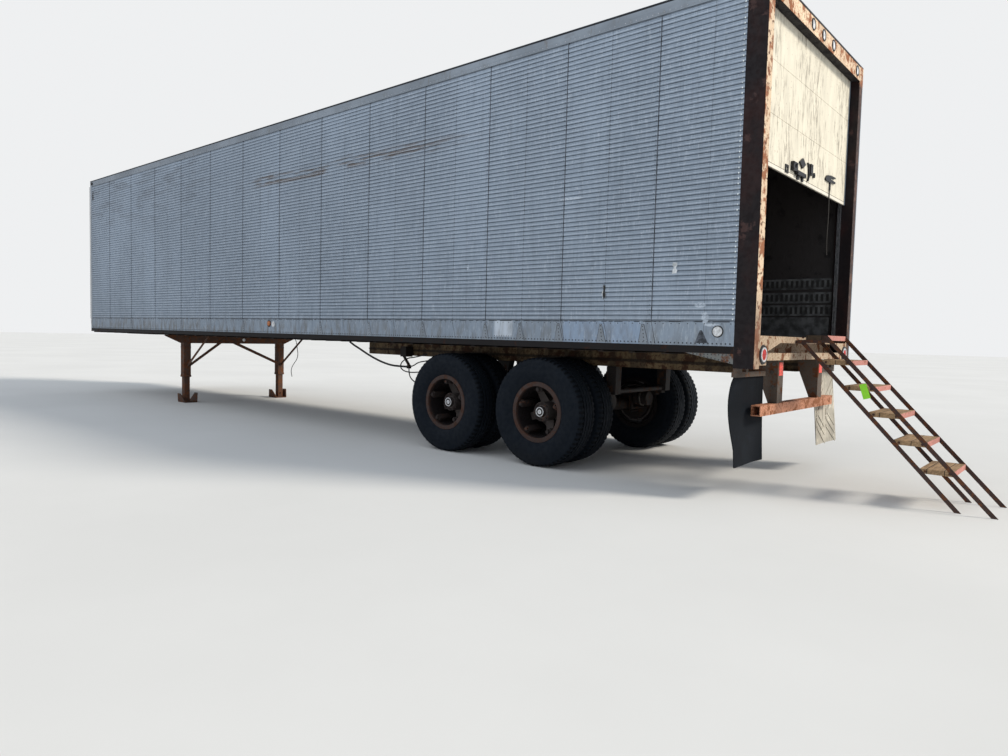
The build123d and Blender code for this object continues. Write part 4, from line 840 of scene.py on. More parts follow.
class OBJECT_OT_trailer_stage(Maker):
    """Camera, floor, backdrop and soft light."""

    bl_idname = "object.trailer_stage"
    bl_label = "Stage"

    def make(self, sizes, colours):
        scene = bpy.context.scene
        scene.view_settings.view_transform = "Standard"
        self.camera(scene)
        self.floor()
        self.lights(scene)

    def camera(self, scene):
        """Camera at the photograph's place and angle."""
        yaw, pitch, roll = (math.radians(angle) for angle in CAMERA_TURN)
        look = Vector((math.cos(pitch) * math.cos(yaw), math.cos(pitch) * math.sin(yaw), math.sin(pitch)))
        right = look.cross(Vector((0, 0, 1))).normalized()
        up = right.cross(look)
        leaned_right = math.cos(roll) * right + math.sin(roll) * up
        leaned_up = -math.sin(roll) * right + math.cos(roll) * up
        data = bpy.data.cameras.new("camera")
        data.sensor_width = SENSOR
        data.lens = SENSOR * CAMERA_FOCAL / PHOTO_WIDTH
        data.clip_end = 300
        camera = bpy.data.objects.new("camera", data)
        scene.collection.objects.link(camera)
        turn = Matrix((leaned_right, leaned_up, -look)).transposed().to_4x4()
        place = Vector(CAMERA_PLACE) + Vector((REAR, 0, 0))
        camera.matrix_world = Matrix.Translation(place) @ turn
        scene.camera = camera

    def floor(self):
        """Pale floor that fades into the backdrop."""
        deselect()
        bpy.ops.mesh.primitive_plane_add(size=240, location=(0, 0, 0))
        floor = settle("stage_floor")
        made = Finish("stage_floor")
        made.base = made.mix(made.noise(0.3).span(0.3, 0.7), (0.62, 0.62, 0.61), (0.66, 0.66, 0.65))
        floor.data.materials.append(made.finish(0.9))

    def lights(self, scene):
        """A pale sky all round and a soft key from behind on the right."""
        world = bpy.data.worlds.new("studio")
        scene.world = world
        world.use_nodes = True
        nodes, links = world.node_tree.nodes, world.node_tree.links
        nodes.clear()
        output = nodes.new("ShaderNodeOutputWorld")
        choose = nodes.new("ShaderNodeMixShader")
        path = nodes.new("ShaderNodeLightPath")
        links.new(path.outputs["Is Camera Ray"], choose.inputs[0])
        for place, colour, strength in ((1, (0.86, 0.92, 1.0, 1), 0.68), (2, (0.86, 0.87, 0.88, 1), 1.0)):
            sky = nodes.new("ShaderNodeBackground")
            sky.inputs[0].default_value = colour
            sky.inputs[1].default_value = strength
            links.new(sky.outputs[0], choose.inputs[place])
        links.new(choose.outputs[0], output.inputs[0])
        for name, turn, energy, colour, spread in (
                ("key", (54, 0, -60), 3.0, (1.0, 0.93, 0.82), 14), ("fill", (48, 0, 150), 0.5, (0.9, 0.95, 1.0), 60)):
            data = bpy.data.lights.new(name, "SUN")
            data.energy = energy
            data.color = colour
            data.angle = math.radians(spread)
            lamp = bpy.data.objects.new(name, data)
            lamp.rotation_euler = Euler([math.radians(angle) for angle in turn])
            scene.collection.objects.link(lamp)


class OBJECT_OT_trailer_lines(Maker):
    """Hoses under the body and the door's pull rope, each a round curve through its points."""

    bl_idname = "object.trailer_lines"
    bl_label = "Hoses and rope"

    def make(self, sizes, colours):
        make_finishes(colours, sizes)
        for name, (diameter, points) in ROUTES.items():
            rope = name == "pull_rope"
            data = bpy.data.curves.new(name + "_line", "CURVE")
            data.dimensions = "3D"
            spline = data.splines.new("NURBS")
            spline.points.add(len(points) - 1)
            for point, (x, y, z) in zip(spline.points, points):
                point.co = (forward(x), y, z, 1)
            spline.order_u = 3
            spline.use_endpoint_u = True
            spline.resolution_u = 12
            data.bevel_depth = diameter / 2
            data.bevel_resolution = 4
            data.use_fill_caps = True
            line = bpy.data.objects.new(name + "_line", data)
            bpy.context.scene.collection.objects.link(line)
            data.materials.append(MATERIALS["rope_fibre" if rope else "hose_rubber"])
            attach(line, "trailer")
            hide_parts(name)
            start = points[0]
            forward(start[0])


class OBJECT_OT_trailer_finishes(Maker):
    """Finishes of the frame's own nodes."""

    bl_idname = "object.trailer_finishes"
    bl_label = "Finishes"

    def make(self, sizes, colours):
        for finish, nodes in NODES_BY_FINISH.items():
            for node in nodes:
                data = frame["nodes"][node].data
                data.materials.clear()
                data.materials.append(MATERIALS[finish])


class OBJECT_OT_trailer_sides(Maker):
    """Seam strips, rivets, skirt plates, patches, a tear and the side lamps."""

    bl_idname = "object.trailer_sides"
    bl_label = "Side trim"

    def make(self, sizes, colours):
        seams = int((NOSE_X - forward(sizes.first_seam)) / sizes.panel_pitch) + 1
        self.seam_strips(sizes, seams)
        self.wall_rivets(sizes, seams)
        self.rail_rivets(sizes)
        self.skirt(sizes, seams)
        self.repairs()
        self.tear()
        self.lamps()

    def seam_strips(self, sizes, seams):
        """Dark lap strip at each seam of the fluted skin."""
        x = forward(sizes.first_seam)
        strip = block("seam_strips", (x - sizes.seam_width / 2, HALF_WIDTH - 0.003, SKIRT_TOP),
                      (x + sizes.seam_width / 2, HALF_WIDTH + 0.0012, WALL_TOP))
        repeat(strip, seams, (sizes.panel_pitch, 0, 0))
        dress(both_sides(strip), "seam_dark")

    def wall_rivets(self, sizes, seams):
        """Dark rivets on each crest between the seams and beside them, and bright studs along the rear post that are
        painted glints at the flute ends.
        """
        step = (0, 0, sizes.flute_pitch)
        count = int((WALL_TOP - SKIRT_TOP) / sizes.flute_pitch) - 1
        low = SKIRT_TOP + sizes.flute_pitch / 2
        columns = []
        for shift, share in ((0.5, 0.8), (0.022, 0.6)):
            x = forward(sizes.first_seam) + sizes.panel_pitch * shift
            post = rivet("wall_rivets", (x, HALF_WIDTH, low), sizes.rivet_radius * share)
            repeat(post, count, step)
            columns.append(repeat(post, seams - 1, (sizes.panel_pitch, 0, 0)))
        trim("wall_rivets", columns, "rivet_dark")
        # Bright studs beside the rear post: painted glints at the flute ends.
        edge = rivet("edge_rivets", (forward(POST_DEPTH + 0.018), HALF_WIDTH - 0.001, low), sizes.rivet_radius * 1.3)
        repeat(edge, count, step)
        dress(both_sides(edge), "glint_alloy")

    def rail_rivets(self, sizes):
        """Light rivet row along the top rail, closer dark ones along the skirt's lower edge and below its fold."""
        length = WALL_FRONT - forward(POST_DEPTH)
        for name, z, y, share, finish in (
                ("top_rail_rivets", WALL_TOP + 0.02, HALF_WIDTH, 1, "rivet_alloy"),
                ("skirt_rivets", SKIRT_LOW + 0.018, SKIRT_Y, 0.7, "rivet_dark"),
                ("fold_rivets", SKIRT_TOP - 0.016, SKIRT_Y, 1.4, "rivet_dark")):
            pitch = sizes.rivet_pitch * share
            row = rivet(name, (forward(POST_DEPTH + 0.03), y, z), sizes.rivet_radius * (1.3 if share < 1 else 0.9))
            repeat(row, int(length / pitch), (pitch, 0, 0))
            dress(both_sides(row), finish)

    def skirt(self, sizes, seams):
        """Slanting joints of the skirt and its triangular riveted plates."""
        joints = []
        lean = 0.045
        for number in range(2 * seams - 1):
            x = forward(sizes.first_seam) + number * sizes.panel_pitch / 2
            width = 0.005 if number % 2 == 0 else 0.0035
            outline = [(x + offset, SKIRT_Y - 0.001, z) for offset, z in (
                (0, SKIRT_TOP), (width, SKIRT_TOP), (width - lean, SKIRT_LOW + 0.004), (-lean, SKIRT_LOW + 0.004))]
            joints.append(plate("joint", outline, (0, 0.0016, 0)))
        trim("skirt_joints", joints, "seam_dark")
        edges, plates, studs = [], [], []
        for x in (0.945, 1.356, 1.809, 2.26, 2.703, 3.6, 4.5, 5.44, 7.25, 9.1, 10.95):
            for wider, out, group in ((0.004, 0.001, edges), (0, 0.0018, plates)):
                outline = [(forward(x) + offset, SKIRT_Y, z) for offset, z in (
                    (-0.055 - wider, SKIRT_LOW + 0.006), (-0.008 - wider, SKIRT_TOP - 0.026 + wider),
                    (0.008 + wider, SKIRT_TOP - 0.026 + wider), (0.035 + wider, SKIRT_LOW + 0.006))]
                group.append(plate("patch", outline, (0, out, 0)))
            for number in range(5):
                studs.append(rivet("stud", (forward(x) - 0.004 * number, SKIRT_Y + 0.0018,
                                            SKIRT_TOP - 0.04 - 0.03 * number), 0.0058))
        edges.append(plate("patch", [(forward(0.427) + across, SKIRT_Y, SKIRT_LOW + up) for across, up in (
            (-0.06, 0.02), (-0.005, 0.12), (0.012, 0.12), (0.05, 0.02))], (0, 0.0012, 0)))
        trim("skirt_plate_edges", edges, "seam_dark")
        trim("skirt_plates", plates, "plain_alloy")
        trim("skirt_plate_rivets", studs, "rivet_dark")

    def repairs(self):
        """White patch on the flutes, and the rivet row of the skirt's bright patch."""
        outline = [(forward(0.671) + across, HALF_WIDTH - 0.001, 1.796 + up) for across, up in (
            (-0.02, 0.042), (0.018, 0.046), (0.022, 0.02), (0.008, 0.004), (0.02, -0.016), (0.024, -0.044),
            (-0.016, -0.042), (-0.02, -0.018), (-0.008, 0.002), (-0.018, 0.018))]
        dress(plate("white_patch", outline, (0, 0.0025, 0)), "patch_white")
        row = rivet("patch_rivets", (forward(2.363), SKIRT_Y, 1.224), 0.005)
        dress(repeat(row, 8, (0.03, 0, 0)), "rivet_dark")

    def tear(self):
        """Hole torn through the skin, a near-black plate that paints the shade inside it, its edges curled out."""
        x, z, y = forward(1.331), 1.62, HALF_WIDTH - 0.001
        ragged = ((-0.026, 0.062), (-0.008, 0.05), (0.006, 0.07), (0.02, 0.036), (0.014, 0.012), (0.03, -0.014),
                  (0.022, -0.04), (0.006, -0.066), (-0.01, -0.05), (-0.03, -0.058), (-0.034, -0.02), (-0.02, 0.004),
                  (-0.036, 0.03))
        # Near-black plate: painted shade seen through the torn hole.
        hole = plate("skin_tear", [(x + across * 0.42, y, z + up * 0.95) for across, up in ragged], (0, 0.0016, 0))
        dress(hole, "bare_dark")
        curls = []
        for number, ((start, low), (end, high)) in enumerate(zip(ragged, ragged[1:])):
            if number % 4 == 3:
                continue
            outline = [(x + start * 0.42, y, z + low * 0.95), (x + end * 0.42, y, z + high * 0.95),
                       (x + end * 0.62, y + 0.007, z + high), (x + start * 0.7, y + 0.005, z + low)]
            curls.append(plate("curl", outline, (0, 0.0008, 0)))
        trim("torn_edges", curls, "torn_alloy", mirror=False)

    def lamps(self):
        """Side lamps: amber domes in dark rings, remnants of lamps on the rail, and white reflectors."""
        y = SKIRT_Y
        amber_x, amber_z = AMBER_LAMP
        rear_x, rear_z = REAR_REFLECTOR
        dome = [(-0.002, 0.034), (0.006, 0.034), (0.014, 0.03), (0.02, 0.02), (0.0225, 0.003), (-0.002, 0.003)]
        amber = disc("amber_lamps", (forward(amber_x), y, amber_z), dome)
        amber = dress(both_sides(amber), "lens_amber", smooth=30)
        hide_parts("side_lamps")
        low = [(out * 0.9, radius * 0.88) for out, radius in dome]
        remnants = [disc("remnant", (forward(place), HALF_WIDTH, 3.858), low) for place in (0.28, 12.64)]
        trim("rail_lamps", remnants, "lamp_remnant", 30)
        face = [(-0.002, 0.038), (0.006, 0.038), (0.008, 0.033), (0.0062, 0.028), (0.007, 0.012), (0.009, 0.003),
                (-0.002, 0.003)]
        whites = [disc("white", (forward(6.48), y, 1.305), face), disc("white", (forward(rear_x), y, rear_z), face)]
        trim("side_reflectors", whites, "cap_white", 30)
        ring = [(-0.002, 0.047), (0.0035, 0.046), (0.0035, 0.038), (-0.002, 0.038)]
        rings = [disc("ring", (forward(place), y, z), ring) for place, z in (AMBER_LAMP, REAR_REFLECTOR)]
        trim("side_lamp_rings", rings, "bare_dark", 30)


class OBJECT_OT_trailer_wheels(Maker):
    """Tyres with tread, rim bands, clamps and hub caps of every wheel end."""

    bl_idname = "object.trailer_wheels"
    bl_label = "Wheels"

    def make(self, sizes, colours):
        tyre = self.tyre(sizes)
        for wheel, centre in WHEELS.items():
            node = wheel.replace("_wheel", "")
            sign = 1 if centre.y > 0 else -1
            pair = join(node + "_treaded_tyres", [
                copy_of(tyre, "twin", (centre.x, sign * middle, centre.z), turn=Matrix.Rotation(
                    math.radians(37 * index), 4, "Y")) for index, middle in enumerate(TYRE_MIDDLES)])
            dress(pair, None, wheel, 35)
            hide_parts(node + "_tyres")
            self.rim(node, wheel, centre, sign)
            self.hub(node, wheel, centre, sign)
        bpy.data.objects.remove(tyre)

    def tyre(self, sizes):
        """One tyre round the origin: five wavy ribs, four grooves, and lugs cut across both shoulders."""
        outer, depth = TYRE_RADIUS, sizes.tread_depth
        ribs = ((0.0986, 0.0675), (0.0575, 0.0285), (0.0185, -0.0185), (-0.0285, -0.0575), (-0.0675, -0.0986))
        wall = [(0.096, 0.262), (0.099, 0.283), (0.108, 0.29), (0.112, 0.3), (0.122, 0.318), (0.132, 0.355),
                (0.137, 0.4), (0.1345, 0.44), (0.1315, 0.447), (0.132, 0.452), (0.127, 0.475), (0.1206, 0.494),
                (0.112, 0.505)]
        tread = []
        for start, end in ribs:
            crown = outer - 0.35 * ((start + end) / 2) ** 2
            tread += [(start, crown), (end, crown)]
            if end > -0.09:
                tread += [(end - 0.0015, outer - depth), (end - 0.0085, outer - depth)]
        profile = wall + tread + [(-out, radius) for out, radius in reversed(wall)]
        made = turned("tyre", profile, (0, 0, 0), sizes.tread_steps)
        made.data.materials.append(MATERIALS["tyre_rubber"])
        made.data.materials.append(MATERIALS["tyre_groove"])
        self.wave_ribs(made, sizes)
        # Groove bottoms take the darker rubber: painted shade in the tread's grooves.
        for face in made.data.polygons:
            sunk = math.hypot(face.center.x, face.center.z) < outer - depth * 0.3
            if sunk and abs(face.center.y) < 0.07:
                face.material_index = 1
        self.cut_lugs(made, sizes)
        return made

    def wave_ribs(self, made, sizes):
        """Shifts every second step of the tread sideways, so that its grooves zigzag."""
        step = 2 * math.pi / sizes.tread_steps
        for parity, shift in ((0, 0.0026), (1, -0.0026)):
            choose(made, "VERT", lambda one: abs(one.co.y) < 0.07 and one.co.xz.length > SHOULDER_RADIUS
                   and round(math.atan2(one.co.z, one.co.x) / step) % 2 == parity)
            bpy.ops.transform.translate(value=(0, shift, 0))
            bpy.ops.object.mode_set(mode="OBJECT")

    def cut_lugs(self, made, sizes):
        """Sinks every second face of both shoulders and paints shade in the cuts."""
        step = 2 * math.pi / sizes.tread_steps

        def cut(face):
            x, y, z = face.center
            shoulder = abs(y) > 0.0675 and math.hypot(x, z) > SHOULDER_RADIUS
            return shoulder and int(math.atan2(z, x) % (2 * math.pi) / step) % 2 == 0

        made.active_material_index = 1
        choose(made, "FACE", cut)
        bpy.ops.mesh.extrude_region_shrink_fatten(TRANSFORM_OT_shrink_fatten={"value": -sizes.tread_depth * 0.55})
        bpy.ops.object.material_slot_assign()
        bpy.ops.object.mode_set(mode="OBJECT")

    def rim(self, node, wheel, centre, sign):
        """Band of the two rims with rolled flanges and the spacer between them."""
        out, back = RIM_OUT, RIM_BACK
        profile = [(out + 0.010, 0.246), (out + 0.010, 0.279), (out + 0.008, 0.286), (out + 0.003, 0.288),
                   (out, 0.284), (out - 0.003, 0.262), (0.9614, 0.2575), (0.9574, 0.283), (0.9474, 0.283),
                   (0.9434, 0.2575), (0.8566, 0.2575), (0.8526, 0.283), (0.8426, 0.283), (0.8386, 0.2575),
                   (back + 0.003, 0.262), (back, 0.284), (back - 0.008, 0.286), (back - 0.010, 0.246),
                   (0.8, 0.2445), (0.9, 0.247), (1.0, 0.2445), (1.12, 0.2445)]
        band = turned(node + "_rim_band", [(sign * y - centre.y, radius) for y, radius in profile], centre, 72)
        dress(band, "rim_rust", wheel, 40)
        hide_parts(node + "_rims")

    def hub(self, node, wheel, centre, sign):
        """Hub cap with a bright centre, a ring of studs, and clamp wedges with their nuts at the spoke ends."""
        face = HUB_FACE
        groups = {
            "cap": ([(0, 0.055), (0.006, 0.055), (0.012, 0.048), (0.028, 0.044), (0.033, 0.034), (0.033, 0.004),
                     (0, 0.004)], "hub_iron"),
            "cap_centre": ([(0.033, 0.022), (0.037, 0.021), (0.038, 0.004), (0.033, 0.004)], "cap_white"),
            "cap_ring": ([(0.033, 0.046), (0.036, 0.044), (0.036, 0.038), (0.033, 0.037)], "cap_white")}
        for name, (profile, finish) in groups.items():
            cap = turned(f"{node}_{name}", [(sign * (face + out) - centre.y, r) for out, r in profile], centre, 32)
            dress(cap, finish, wheel, 40)
        ring = turned(node + "_hub_ring", [(sign * y - centre.y, radius) for y, radius in (
            (face, 0.09), (face + 0.008, 0.088), (face + 0.008, 0.066), (face, 0.064))], centre, 32)
        studs = []
        for number in range(STUDS):
            angle = 2 * math.pi * number / STUDS
            place = (centre.x + STUD_CIRCLE * math.cos(angle), sign * (face + 0.008),
                     centre.z + STUD_CIRCLE * math.sin(angle))
            studs.append(bolt("stud", place, 0.009, 0.008, sign=sign))
        dress(join(node + "_hub_ring", [ring] + studs), "hub_iron", wheel, 30)
        clamps = []
        low, high = sorted((sign * CLAMP_IN, sign * CLAMP_OUT))
        for number in range(SPOKES):
            turn = Matrix.Rotation(2 * math.pi * number / SPOKES, 4, "Y")
            wedge = block("wedge", (centre.x - 0.034, low, centre.z + 0.196),
                          (centre.x + 0.034, high, centre.z + 0.243), 0.006)
            nut = bolt("nut", (centre.x, sign * CLAMP_OUT, centre.z + 0.214), 0.019, 0.022, sign=sign)
            clamps.append(copy_of(join("wedge", [wedge, nut]), "clamp", turn=turn, about=centre))
            bpy.data.objects.remove(bpy.data.objects["wedge"])
        dress(join(node + "_rim_clamps", clamps), "hub_iron", wheel, 30)


class OBJECT_OT_trailer_rear(Maker):
    """Lamp bezels, reflectors, latch screws and bolts of the rear frame, and the cargo rails' slots."""

    bl_idname = "object.trailer_rear"
    bl_label = "Rear frame trim"

    def make(self, sizes, colours):
        self.header_lamps()
        self.tail_lamps()
        self.reflectors()
        self.latch_screws()
        self.frame_bolts()
        self.cargo_slots()

    def header_lamps(self):
        """Rubber rings round the header's lamps, and a dark block on the left of each lens, a painted shade crescent.
        """
        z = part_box("rear_lamps")[1].z - 0.04
        ring = [(0, 0.05), (-0.005, 0.048), (-0.005, 0.037), (0, 0.036)]
        rings = [disc("ring", (forward(0), y, z), ring, "X", -1) for y in HEADER_LAMPS]
        # Dark block on the left of each lens: painted shade crescent.
        rings += [block("lip", (forward(0) - 0.004, y + 0.02, z - 0.03), (forward(0), y + 0.036, z + 0.03), 0.0015)
                  for y in HEADER_LAMPS]
        trim("header_lamp_rings", rings, "bare_dark", 30, mirror=False)

    def tail_lamps(self):
        """Tail lamps: a dark base, a white ring that is a painted highlight, and a red centre."""
        groups = {"tail_lamp_bases": ([(0, 0.076), (-0.008, 0.072), (-0.008, 0.056), (0, 0.056)], "latch_black"),
                  # White ring: painted highlight on the lamp.
                  "tail_lamp_rims": ([(-0.002, 0.058), (-0.012, 0.056), (-0.012, 0.043), (-0.002, 0.043)], "cap_white"),
                  "tail_lamp_lenses": ([(-0.003, 0.043), (-0.01, 0.043), (-0.017, 0.024), (-0.019, 0.002),
                                        (-0.003, 0.002)], "lens_red")}
        for name, (profile, finish) in groups.items():
            pair = [disc("ring", (forward(0), sign * TAIL_LAMP_Y, TAIL_LAMP_Z), profile, "X", -1) for sign in SIDES]
            trim(name, pair, finish, 30, mirror=False)

    def reflectors(self):
        """Red reflectors on the bumper's uprights."""
        low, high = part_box("bumper_uprights")
        strips = [block("strip", (low.x - 0.004, sign * UPRIGHT_Y - 0.042, high.z - 0.13),
                        (low.x, sign * UPRIGHT_Y + 0.042, high.z - 0.02), 0.002) for sign in SIDES]
        trim("upright_reflectors", strips, "reflector_red", mirror=False)

    def latch_screws(self):
        """Screws of the latch's plates: y, height over the door's edge, and how far their plate stands out."""
        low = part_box("door_panels")[0].z
        places = ((0.515, 0.025, 0.008), (0.515, 0.071, 0.008), (0.33, 0.065, 0.026), (0.405, 0.065, 0.026),
                  (0.33, 0.117, 0.026), (0.405, 0.117, 0.026), (0.14, 0.053, 0.03), (0.31, 0.053, 0.03),
                  (-0.05, 0.11, 0.02), (-0.05, 0.174, 0.02))
        screws = [bolt("screw", (forward(0.08) - out, y, low + up), 0.007, 0.004, "X", -1) for y, up, out in places]
        trim("latch_screws", screws, "pin_steel", mirror=False)

    def frame_bolts(self):
        """Bolts and welds of the bumper's uprights, and rivets of the corner gussets."""
        places = ((0.085, 0.86), (0.1, 0.98), (0.15, 1.045), (0.2, 1.045), (0.085, 1.045))
        outer = UPRIGHT_Y + UPRIGHT_HALF
        heads = [bolts("heads", [(forward(x), sign * outer, z) for x, z in places], 0.011, 0.008, "Y", sign)
                 for sign in SIDES]
        trim("upright_bolts", heads, "pin_steel", 30, mirror=False)
        welds = [rod("weld", (forward(0.05), sign * out, 0.7255), (forward(0.125), sign * out, 0.7255), 0.005)
                 for sign in SIDES for out in (UPRIGHT_Y - UPRIGHT_HALF, outer)]
        trim("bumper_welds", welds, "beam_steel", 40, mirror=False)
        slope = (1.127 - 1.05) / 0.4
        rows = [rivet("head", (forward(0.185 + 0.03 * number), HALF_WIDTH, low + 0.03 * number * rise), 0.0055)
                for low, rise, count in ((1.118, 0, 12), (1.062, slope, 9)) for number in range(count)]
        trim("gusset_rivets", rows, "rivet_dark")

    def cargo_slots(self):
        """Slots of the cargo rails, dark blocks that paint the shade seen through them, and the kick panels below them.
        """
        slots = []
        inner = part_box("cargo_rails")[1].y - 0.012
        for z in (1.56, 1.69, 1.83):
            # Dark block for each slot: painted shade seen through it.
            slot = block("slot", (forward(0.2), inner - 0.0008, z - 0.035), (forward(0.226), inner + 0.0004, z + 0.035))
            slots.append(repeat(slot, SLOTS, (SLOT_PITCH, 0, 0)))
        trim("cargo_slots", slots, "bare_dark")
        panel = block("kick_panels", (forward(0.19), inner + 0.004, FLOOR_TOP + 0.004),
                      (forward(1.39), inner + 0.011, 1.49), 0.001)
        dress(both_sides(repeat(panel, KICK_PANELS, (KICK_PITCH, 0, 0))), "cargo_steel")


class OBJECT_OT_trailer_flaps(Maker):
    """Mud flaps: the near one twisted rubber painted near black as in shade, the far one painted pale as in sunlight,
    with pressed ribs.
    """

    bl_idname = "object.trailer_flaps"
    bl_label = "Mud flaps"

    def make(self, sizes, colours):
        low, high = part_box("mud_flaps")
        near = self.sheet("left_mud_flap", low.z, high.z)
        self.swing(near, self.near_shape)
        dress(modify(near, "SOLIDIFY", **FLAP_WALL), "left_flap_rubber", smooth=40)
        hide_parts("mud_flaps")
        far = modify(self.sheet("right_mud_flap", low.z, high.z), "SOLIDIFY", **FLAP_WALL)
        ribs = []
        for rise, centres in ((1, (0.78, 0.7, 0.62)), (-1, (0.5, 0.42, 0.34))):
            for centre in centres:
                for start in (0.66, 0.94):
                    outline = [(-0.004, start + across, centre + up + rise * (across - 0.12) * 0.7) for across, up in (
                        (0, -0.012), (0.23, -0.012), (0.23, 0.012), (0, 0.012))]
                    ribs.append(plate("rib", outline, (-0.005, 0, 0)))
        far = join("right_mud_flap", [far] + ribs)
        self.swing(far, self.far_shape)
        far = copy_of(far, "right_mud_flap_pale", mirror_y=True)
        bpy.data.objects.remove(bpy.data.objects["right_mud_flap"])
        dress(far, "right_flap_rubber", smooth=40)
        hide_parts("mud_flaps")

    def sheet(self, name, low, high):
        """Flat grid across the flap, in the plane of x = 0."""
        deselect()
        bpy.ops.mesh.primitive_grid_add(x_subdivisions=16, y_subdivisions=10, size=1)
        made = settle(name)
        middle = FLAP_INNER + FLAP_WIDTH / 2
        made.data.transform(Matrix.Translation((0, middle, (low + high) / 2)) @ Matrix.Rotation(math.pi / 2, 4, "Y")
                            @ Matrix.Diagonal((high - low, FLAP_WIDTH, 1, 1)))
        return made

    def swing(self, made, shape):
        """Moves each point forward by the shape's distance at its y and z."""
        for vertex in made.data.vertices:
            vertex.co.x += forward(shape(vertex.co.y, vertex.co.z))

    def near_shape(self, y, z):
        """Hangs from its bar, bellies forward at its outer edge and swings back at the bottom."""
        across = (y - FLAP_INNER) / FLAP_WIDTH
        down = max(0.0, (FLAP_TOP - z) / FLAP_DROP)
        belly = math.sin(math.pi * min(1.0, down * 1.25) ** 0.8)
        return 0.152 + 0.04 * across**2 * belly + 0.01 * math.sin(5 * across) * down - 0.02 * down**2

    def far_shape(self, y, z):
        """Hangs slanting back."""
        down = (FLAP_TOP - z) / FLAP_DROP
        return 0.148 - 0.06 * down + 0.008 * math.sin(4 * (y - FLAP_INNER) / FLAP_WIDTH) * down


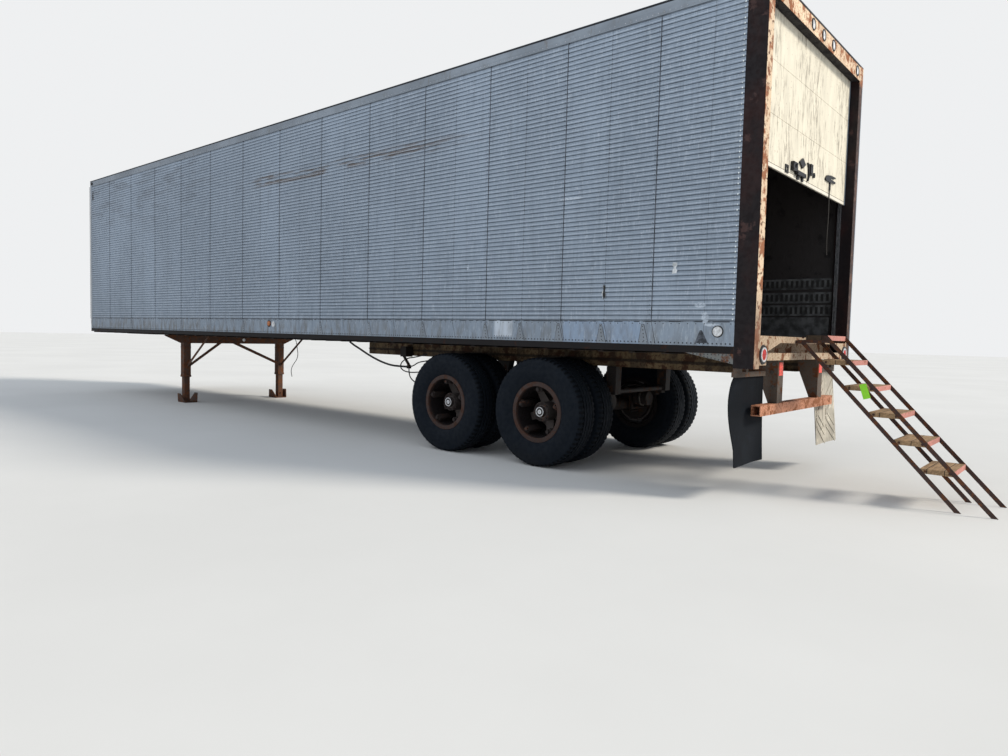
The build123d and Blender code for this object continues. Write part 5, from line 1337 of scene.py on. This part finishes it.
class OBJECT_OT_trailer_under(Maker):
    """Clamps, bolts and bands of the running gear and the landing gear, and the trim of the steps."""

    bl_idname = "object.trailer_under"
    bl_label = "Undergear trim"

    def make(self, sizes, colours):
        self.spring_clamps()
        self.hanger_bolts()
        self.chamber_bands()
        self.landing_trim()
        self.step_trim()

    def spring_clamps(self):
        """U-bolts that hold the springs on the axles, with their top plates and nuts."""
        clamps = []
        for x in AXLES:
            for low, high in ((0.6505, 0.666), (0.43, 0.444)):
                clamps.append(block("pad", (x - 0.1, SPRING_Y - 0.048, low), (x + 0.1, SPRING_Y + 0.048, high), 0.003))
            for along in (-0.078, 0.078):
                for y in (SPRING_Y - 0.043, SPRING_Y + 0.043):
                    clamps.append(rod("leg", (x + along, y, 0.42), (x + along, y, 0.69), 0.009, 12))
                    clamps.append(bolt("nut", (x + along, y, 0.666), 0.016, 0.016, "Z"))
        trim("spring_clamps", clamps, "bogie_steel", 30)

    def hanger_bolts(self):
        """Bolts through the spring hangers."""
        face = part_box("spring_hangers")[1].y
        places = [(forward(x), face, z) for x, z in (
            (1.65, 0.72), (1.65, 0.86), (2.6, 0.86), (2.76, 0.86), (2.68, 0.75), (3.83, 0.86), (3.93, 0.86),
            (3.878, 0.75))]
        dress(both_sides(bolts("hanger_bolts", places, 0.016, 0.014)), "bogie_steel", smooth=30)

    def chamber_bands(self):
        """Clamp band round each brake chamber."""
        band = [(-0.011, 0.0745), (-0.011, 0.081), (-0.006, 0.085), (0.006, 0.085), (0.011, 0.081), (0.011, 0.0745)]
        bands = [disc("band", (x - 0.25, 0.365, 0.595), band, "X") for x in AXLES]
        trim("chamber_bands", bands, "pin_steel", 30)

    def landing_trim(self):
        """Collars of the legs, bolts of their beam and braces, and the shoes' pins."""
        x, y, half = forward(LEG_X), LEG_Y, LEG_HALF
        pieces = [block("collar", (x - reach, y - reach, low), (x + reach, y + reach, high), 0.004)
                  for reach, low, high in ((0.063, 0.42, 0.455), (0.061, 0.9, 0.925))]
        pieces.append(rod("pin", (x - 0.07, y, 0.085), (x + 0.07, y, 0.085), 0.013))
        for sign in (-1, 1):
            places = [(x + sign * half, y + across, z) for across in (-0.04, 0.04) for z in (1.0, 1.07)]
            pieces.append(bolts("beam", places, 0.013, 0.012, "X", sign))
        places = [(x + across, y + 0.0575, z) for across in (-0.035, 0.035) for z in (0.5, 0.95)]
        pieces.append(bolts("side", places, 0.009, 0.008))
        trim("landing_trim", pieces, "landing_steel", 30)
        back = x - half - 0.008
        dome = [(0, 0.031), (0.006, 0.03), (0.009, 0.022), (0.009, 0.004), (0, 0.004)]
        white = disc("beam_reflector", (x - half, -0.13, 1.0435), dome, "X", -1)
        dress(white, "cap_white", smooth=30)
        braces = bolts("brace_bolts", [(back, 0.21, 1.02), (back, 0.21, 1.065), (back, 0.845, 0.605),
                                       (back, -0.845, 0.605)], 0.012, 0.01, "X", -1)
        dress(braces, "landing_steel", smooth=30)

    def step_trim(self):
        """Bolts at the treads' ends and the blank green tag on the near rail."""
        heads = []
        for number in range(STEP_COUNT):
            back = STEP_BACK - STEP_RISE * number / math.tan(math.radians(STEP_ANGLE))
            z = STEP_TOP - STEP_RISE * number - 0.019
            for along in (0.03, 0.19):
                for y, sign in ((0.32, 1), (-0.19, -1)):
                    heads.append(bolt("head", (forward(back + along), y, z), 0.007, 0.005, "Y", sign))
        dress(join("tread_bolts", heads), "step_steel", "boarding_steps", 30)
        tag = plate("step_tag", [(forward(x), 0.3205, z) for x, z in (
            (-0.503, 0.905), (-0.553, 0.918), (-0.592, 0.805), (-0.54, 0.79))], (0, 0.002, 0), 0.0006)
        dress(tag, "tag_green", "boarding_steps")


OPERATORS = (
    OBJECT_OT_trailer_stage,
    OBJECT_OT_trailer_lines,
    OBJECT_OT_trailer_finishes,
    OBJECT_OT_trailer_sides,
    OBJECT_OT_trailer_wheels,
    OBJECT_OT_trailer_rear,
    OBJECT_OT_trailer_flaps,
    OBJECT_OT_trailer_under,
)


class VIEW3D_PT_trailer(bpy.types.Panel):
    """Lists the trailer's operators."""

    bl_label = "Semi trailer"
    bl_space_type = "VIEW_3D"
    bl_region_type = "UI"
    bl_category = "Semi trailer"

    def draw(self, context):
        for operator in OPERATORS:
            self.layout.operator(operator.bl_idname)


CLASSES = (TrailerSizes, TrailerColours, *OPERATORS, VIEW3D_PT_trailer)


def register():
    """Registers every class and the two groups of settings."""
    for one in CLASSES:
        bpy.utils.register_class(one)
    bpy.types.Scene.trailer_sizes = bpy.props.PointerProperty(type=TrailerSizes)
    bpy.types.Scene.trailer_colours = bpy.props.PointerProperty(type=TrailerColours)


def unregister():
    """Undoes register."""
    del bpy.types.Scene.trailer_colours
    del bpy.types.Scene.trailer_sizes
    for one in reversed(CLASSES):
        bpy.utils.unregister_class(one)


def main():
    """Builds the whole trailer."""
    register()
    for operator in OPERATORS:
        category, name = operator.bl_idname.split(".")
        if getattr(getattr(bpy.ops, category), name)() != {"FINISHED"}:
            raise RuntimeError(operator.bl_idname + " did not finish")


if __name__ == "__main__":
    main()
